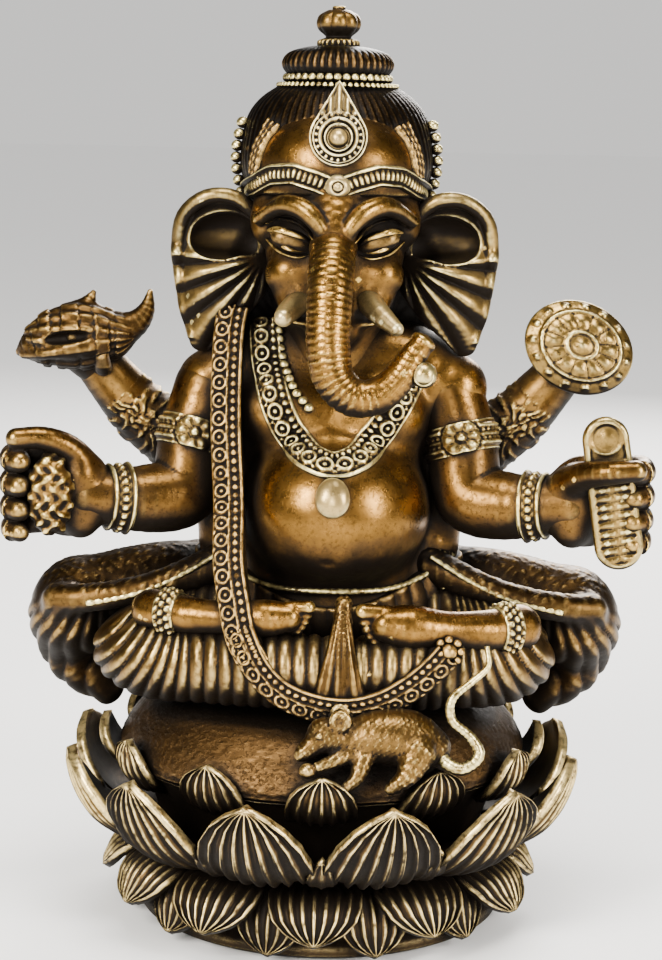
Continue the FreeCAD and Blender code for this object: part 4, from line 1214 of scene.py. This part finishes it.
HEADBAND_TURNS = [0, 12, 28, 45, 62, 90, 180]             # degrees from the front
HEADBAND_HEIGHTS = [205.4, 207.4, 209.4, 208.8, 206.0, 203.4, 202]


def make_headband():
    around_head = []
    for a in np.radians(np.linspace(0, 360, 120)):
        from_front = math.degrees(min(a, 2 * math.pi - a))
        z = float(np.interp(from_front, HEADBAND_TURNS, HEADBAND_HEIGHTS))
        around_head.append((AXIS_X + 26 * math.sin(a), -4.5 - 27 * math.cos(a), z))
    band = strip(around_head, 5.8, headband_relief, scalp_field, 0.34)
    gather("ribbed_headband", [band], TRIM, ["headband"])

    def stud_relief(r, a, share):
        return 0.8 + 2.2 * half_round((r / 3.3) ** 2) - 0.5 * peak(r, 1.3, 0.25) - 1.0 * step(share, 0.93, 1)

    knob = drape(scalp_field, [(1.2, 206.2)], start=-50)[0]
    stud = plaque(scalp_field, knob, lambda a: 3.4 + 0 * a, stud_relief, 18, 40)
    gather("headband_stud", [stud], PALE, ["headband_bead"])


def make_crown():
    above = lambda p: within(plate_field(p), 203.5 - p[2], 0.5)
    sculpt("forehead_plate", above, (-26, -32, 202), (28, 22, 230), 0.7, SKIN, ["crown_band"])
    hair = lambda p: within(hair_field(p), p[2] - 235.2, 0.6)
    sculpt("dark_hair", hair, (-30, -26, 148), (32, 30, 238), 0.6, DARK, ["crown_cap"])
    make_headband()
    beads = bead_ring((AXIS_X - 0.2, 1.4, 234.9), 14.0, 14.0, 38, 1.25)
    beads += bead_ring((AXIS_X - 0.2, 1.8, 232.9), 16.2, 15.6, 60, 0.8, segments=8)
    for side in SIDES.values():
        for k in range(7):
            x = 25.6 + 2.0 * math.sin(math.pi * (k + 0.5) / 7)
            beads.append(bead((AXIS_X + side * x, -1.5, 203.6 + 3.15 * k), 1.75, (1, 1, 0.92)))
    gather("crown_beading", beads, TRIM, ["crown_beads"])
    strands = []
    for side in SIDES.values():
        edge = [(AXIS_X + side * x, z) for x, z in ((21.6, 208.6), (21.4, 212), (20.0, 217), (16.6, 222.4))]
        line = smooth(drape(scalp_field, edge, start=-45), 10)
        strands.append(strip(line, 5.6, strand_relief, scalp_field, 0.34))
    gather("temple_strands", strands, CLOTH)


def make_topknot():
    top = (AXIS_X - 0.2, 1.4)
    bun = profile_curve([(0, 234.4), (9, 234.6), (12.6, 235.2), (14.8, 237.2), (15.2, 239.4), (13.6, 241.6),
                         (10, 243), (5.4, 243.7), (0, 243.8)], 0.5 * COARSE)
    groove = lambda a, z, r: 0.22 * np.cos(a * 44) * step(r, 10, 13.5)
    gather("crown_bun", [lathe(bun, int(264 / COARSE), top, groove)], DARK, ["crown_disc"])
    knop = profile_curve([(0, 243.2), (4.9, 243.3), (5.6, 244.2), (5.2, 245.3), (3.6, 245.9), (3.9, 246.6),
                          (5.4, 248.1), (5.9, 249.9), (5.2, 251.9), (3.2, 253.2), (1.9, 253.5), (1.7, 254.3),
                          (0, 254.6)], 0.28 * COARSE)

    def flute(a, z, r):
        lobes = 0.55 * (np.abs(np.cos(a * 4)) - 0.6) * step(z, 246.2, 247.6) * (1 - step(z, 251.6, 253))
        collar = 0.35 * np.cos(a * 22) * step(-z, -245.4, -244.9) * step(r, 4, 5)
        return lobes + collar

    gather("fluted_finial", [lathe(knop, int(176 / COARSE), top, flute)], GOLD, ["finial"])


JEWEL_R, JEWEL_TIP = 7.4, 14.6            # the round part's radius, and how far above its middle the tip is
JEWEL_FLANK = math.acos(JEWEL_R / JEWEL_TIP)


def jewel_outline(a):
    """A teardrop: a circle with two tangent flanks that meet at the tip."""
    off = np.abs((a + math.pi) % (2 * math.pi) - math.pi)
    return np.where(off < JEWEL_FLANK, JEWEL_R / np.cos(JEWEL_FLANK - np.minimum(off, JEWEL_FLANK)), JEWEL_R)


def jewel_relief(r, a, share):
    ray = 0.9 + 0.35 * np.cos(a * 22)
    flame = 1.3 + 0.45 * np.cos(r * np.sin(a) * 3.0)
    high = np.where(r * np.cos(a) > 5.6, flame, ray)
    high = np.where(r < 4.9, 0.7, high)
    rings = highest(bar(r, 4.6, 0.6, 2.1), bar(r, 3.4, 0.4, 1.5), bar(r, 6.3, 0.3, 1.5))
    high = highest(high, rings, 2.6 * half_round((r / 2.5) ** 2), bar(share, 0.95, 0.05, 1.9))
    return high - 1.6 * step(share, 0.97, 1.0)


def make_jewel():
    spot = drape(jewel_bed_field, [(1.1, 218.6)], start=-50)[0]
    jewel = plaque(jewel_bed_field, spot, jewel_outline, jewel_relief, 46, 110, sink=7.0)
    gather("teardrop_jewel", [jewel], PALE, ["forehead_jewel"])


# ---------------------------------------------------------------- ornaments on the body
GARLAND_FALL = [(-26.8, -6.5, 169.6), (-27.5, -11.5, 166.0), (-27.8, -15.5, 160.5), (-27.9, -20.5, 150),
                (-27.6, -24.0, 138), (-26.8, -26.5, 126), (-26.0, -29.5, 114), (-25.4, -34.5, 104),
                (-24.0, -40.5, 96.5), (-22.0, -44.6, 88), (-18.0, -46.4, 80.5)]
GARLAND_SWAG = [(-22.5, -45.0, 90), (-18.0, -46.8, 80.5), (-11.5, -48.2, 74.0), (-3.0, -49.8, 70.6),
                (6.5, -50.6, 69.6), (15.5, -49.8, 71.6), (23.5, -48.0, 76.0), (29.0, -45.8, 80.4),
                (32.6, -44.4, 84.0)]
NECKLACE = [(-18.0, 168), (-17.2, 158), (-14.2, 147.5), (-10.0, 139.4), (-4.6, 134.0), (1.8, 132.2), (8.0, 134),
            (13.0, 139.4), (17.6, 146.4), (22.0, 154)]
INNER = [(-14.0, 166), (-12.6, 158), (-9.4, 151), (-5.4, 146.5)]


def garland_core(p, line, shift, radius):
    """A tube that runs behind one length of the garland."""
    return limb(p, np.add(line, shift), [radius] * len(line), 3)


def make_garland():
    bed, behind = 30.0, (0, 30, 0)        # a wide tube set back by its radius is a bed to lay the relief on
    fall_bed = lambda p: garland_core(p, GARLAND_FALL, behind, bed)
    swag_bed = lambda p: garland_core(p, GARLAND_SWAG, behind, bed)
    fall = strip(smooth(GARLAND_FALL, 8), 8.2, garland_relief, fall_bed, 0.40)
    swag = strip(smooth(GARLAND_SWAG, 8), 7.2, garland_relief, swag_bed, 0.40)
    clasp = [bead((33.2, -45.0, 85.0), 2.3, segments=20)]
    for a in np.linspace(0, 2 * math.pi, 8, endpoint=False):
        clasp.append(bead((33.2 + 3.1 * math.sin(a), -44.8 + 0.4 * math.cos(a), 85.0 + 3.1 * math.cos(a)), 1.15))
    gather("long_garland", [fall, swag] + clasp, CLOTH, ["garland"])
    core = lambda p: join(garland_core(p, GARLAND_FALL, (0.3, 4.4, 0), 3.9),
                          garland_core(p, GARLAND_SWAG, (0, 4.0, 0), 3.3), 1.5)
    sculpt("garland_back", core, (-36, -50, 62), (42, 4, 174), 0.8, CLOTH)


def make_necklaces():
    line = smooth(drape(torso_field, NECKLACE), 8)
    gather("wide_necklace", [strip(line, 8.8, necklace_relief, torso_field, 0.38)], TRIM, ["necklace"])
    string = even(smooth(drape(torso_field, INNER), 8), 2.5)
    gather("bead_string", [bead(p + (0, -0.8, 0), 1.35) for p in string], TRIM, ["inner_necklace"])
    drop = drape(torso_field, [(1.6, 124.6)])[0]
    heart = lambda a: 4.8 + 0.6 * np.cos(a - math.pi) + 0.25 * np.cos(2 * a)
    gem = lambda r, a, share: 0.6 + 2.6 * half_round(share ** 2) - 0.9 * step(share, 0.94, 1)
    gather("heart_pendant", [plaque(torso_field, drop, heart, gem, 20, 48)], PALE, ["pendant"])


def make_belt():
    belt_line = []
    for a in np.radians(np.linspace(-180, 180, 140)):
        x, y = WAIST_X + 30 * math.sin(a), WAIST_Y - 34 * math.cos(a)
        belt_line.append((x, y, float(belt_height(x, y))))
    belt = np.array(belt_line)
    for _ in range(5):
        belt -= slope(torso_field, belt) * (torso_field(belt.T.astype(np.float32))[:, None] - 0.9)
    for _ in range(24):
        belt[1:-1] = (belt[:-2] + 2 * belt[1:-1] + belt[2:]) / 4
    cord = tube(even(belt, 0.5), 0.95, 8, wave=lambda s, a: 1 + 0.15 * np.sin(s * 3 + 2 * a))
    gather("waist_cord", [cord], TRIM, ["hip_belt"])
    strap = smooth(drape(whole_field, [(33.8, 105), (34.0, 100), (35.5, 95)]), 6)
    gather("hip_strap", [strip(strap, 6.2, garland_relief, whole_field, 0.4)], TRIM, ["hem_beads"])


ANKLETS = (("right", (-41.5, -31.4, 91.1), (15, -7, 0.4), 6.0),
           ("left", (49.0, -31.2, 88.9), (-13, -7.4, 0.8), 7.2))


def make_anklets():
    for name, centre, axis, r in ANKLETS:
        foot = lambda p, n=name: foot_field(p, n)
        rings = [strip(circle_path(centre, axis, r, 80, 90, BAND_TURN), 6.0, anklet_relief, foot, 0.38)]
        gather(name + "_ankle_band", rings, TRIM, [name + "_anklet"])


# ---------------------------------------------------------------- the mouse
MOUSE_LEGS = (([(7.0, -56.4, 60.0), (2.8, -59.4, 58.6), (-0.6, -60.4, 57.4)], [2.8, 1.9, 1.5]),
              ([(11.0, -57.0, 59.0), (9.4, -59.6, 54.6), (6.6, -60.4, 51.6)], [3.0, 2.0, 1.5]),
              ([(25.0, -56.4, 60.5), (22.6, -59.4, 55.4), (18.4, -60.2, 51.8)], [5.0, 3.0, 1.7]))


def mouse_field(p):
    """The mouse on the seat's edge, gnawing a nut."""
    body = limb(p, [(8.5, -52.6, 62.4), (15, -52.0, 63.4), (22.5, -51.2, 62.8), (29, -50.6, 60.6)],
                [5.8, 7.2, 7.8, 5.2], 3)
    head = egg(p, (1.8, -54.8, 64.2), (5.8, 4.8, 4.8), spin("Y", 24))
    snout = limb(p, [(-1.2, -55.6, 62.6), (-4.2, -56.6, 60.4), (-5.4, -57.0, 59.4)], [3.4, 2.5, 1.7], 3)
    d = join(join(body, head, 2.2), snout, 1.2)
    for y in (-58.0, -51.4):
        ear = egg(p, (4.8, y, 69.0), (2.9, 1.2, 3.1), spin("Y", -18))
        cup = egg(p, (4.4, y - 1.5, 69.2), (1.7, 0.9, 1.9))
        d = join(d, carve(ear, cup, 0.4), 0.8)
    for line, fat in MOUSE_LEGS:
        d = join(d, limb(p, line, fat, 3), 1.0)
    nut = egg(p, (-3.4, -60.2, 56.2), (2.3, 2.0, 2.1))
    eye = egg(p, (-0.6, -58.9, 65.2), (1.0, 0.8, 0.9))
    fur = 0.09 * np.sin(p[0] * 4.2 + 1.5 * np.sin(p[2] * 1.7)) * np.sin(p[2] * 3.1 + p[0])
    return join(join(d - fur, eye, 0.3), nut, 0.5)


def make_mouse():
    sculpt("gnawing_mouse", mouse_field, (-9, -64, 48), (36, -42, 74), 0.45, SHADED_PLEAT_BRASS, ["mouse"])
    line = even(smooth([(29.5, -50.8, 60.4), (33.2, -54.4, 57.2), (37.4, -55.6, 56.2), (41.4, -54.6, 59.8),
                        (39.2, -53.6, 64.2), (34.2, -53.2, 68.6), (34.0, -52.8, 74.2), (39.0, -50.4, 78.2),
                        (43.6, -46.8, 81.8), (43.4, -44.4, 86.6)], 10), 0.5)
    tail = tube(line, np.linspace(1.9, 0.7, len(line)), 12, wave=lambda s, a: 1 + 0.05 * np.sin(s * 4.5))
    gather("curled_tail", [tail], TRIM, ["mouse_tail"])


# ---------------------------------------------------------------- hidden hardware and finishes on CAD nodes
def dress_cad_nodes():
    cloth, steel = felt("black_felt"), plated_steel("zinc_plated_steel")
    finishes = {"felt_pad": cloth, "fixing_stud": steel, "fixing_washer": steel, "fixing_nut": steel,
                "joining_dowels": steel}
    for name, finish in finishes.items():
        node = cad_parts[name]
        node.data.materials.clear()
        node.data.materials.append(finish)


# ---------------------------------------------------------------- stage
def make_stage():
    size = 40.0
    mesh = bpy.data.meshes.new("floor")
    mesh.from_pydata([(-size, -size, 0), (size, -size, 0), (size, size, 0), (-size, size, 0)], [], [(0, 1, 2, 3)])
    floor = bpy.data.objects.new("floor", mesh)
    bpy.context.scene.collection.objects.link(floor)
    pale, _, shader = surface("pale_floor", Roughness=0.9)
    shader.inputs["Base Color"].default_value = (0.86, 0.86, 0.86, 1)
    mesh.materials.append(pale)


LIT_POINT = (0, 0, 0.13)
LAMPS = (("key", (-0.62, -0.80, 0.62), (0.30, 0.50), 24, (1.0, 0.95, 0.86)),
         ("fill", (0.80, -0.62, 0.42), (0.22, 0.50), 15, (1.0, 0.95, 0.88)),
         ("front", (-0.06, -1.25, 0.34), (0.10, 0.40), 6, (1.0, 0.96, 0.90)),
         ("top", (0.05, -0.25, 1.10), (0.50, 0.35), 14, (1.0, 0.97, 0.92)),
         ("back", (0.25, 0.95, 0.60), (0.5, 0.5), 16, (1.0, 0.97, 0.93)))
SKY, SKY_IN_METAL, SKY_TO_CAMERA = 1.10, 0.13, 0.815      # how bright the surroundings are to each kind of ray


def area_light(name, place, size, power, tint):
    lamp = bpy.data.lights.new(name, "AREA")
    lamp.shape = "RECTANGLE"
    lamp.size, lamp.size_y = size
    lamp.energy = power
    lamp.color = tint
    obj = bpy.data.objects.new(name, lamp)
    obj.location = place
    obj.rotation_euler = (Vector(LIT_POINT) - Vector(place)).to_track_quat("-Z", "Y").to_euler()
    bpy.context.scene.collection.objects.link(obj)


def light_stage():
    world = bpy.data.worlds.new("studio")
    world.use_nodes = True
    tree = world.node_tree
    sky = tree.nodes["Background"]
    sky.inputs["Color"].default_value = (1.0, 0.985, 0.96, 1)
    seen = make_node(tree, "ShaderNodeLightPath")
    in_metal = ramp(tree, seen.outputs["Is Glossy Ray"], 0.0, 1.0, SKY, SKY_IN_METAL)
    to_camera = ramp(tree, seen.outputs["Is Camera Ray"], 0.0, 1.0, 1.0, SKY_TO_CAMERA)
    tree.links.new(maths(tree, "MULTIPLY", in_metal, to_camera), sky.inputs["Strength"])
    bpy.context.scene.world = world
    for lamp in LAMPS:
        area_light(*lamp)


CAMERA_PLACE = (0.00105, -0.600, 0.222)
CAMERA_DOWN, CAMERA_ROLL = 9.35, 1.2      # degrees
FOCAL_LENGTH = 80.6                       # millimetres, on a sensor 36 wide


def place_camera():
    data = bpy.data.cameras.new("camera")
    data.sensor_width = 36.0
    data.lens = FOCAL_LENGTH
    data.clip_end = 20
    cam = bpy.data.objects.new("camera", data)
    pitch = Matrix.Rotation(math.radians(90 - CAMERA_DOWN), 4, "X")
    roll = Matrix.Rotation(math.radians(CAMERA_ROLL), 4, "Z")
    cam.matrix_world = Matrix.Translation(CAMERA_PLACE) @ pitch @ roll
    bpy.context.scene.collection.objects.link(cam)
    bpy.context.scene.camera = cam


for build in (make_pedestal, make_body, make_arms, make_held, make_head, make_eyes, make_crown, make_topknot,
              make_jewel, make_garland, make_necklaces, make_belt, make_anklets, make_mouse, dress_cad_nodes,
              make_stage, light_stage, place_camera):
    build()
bpy.context.view_layer.update()
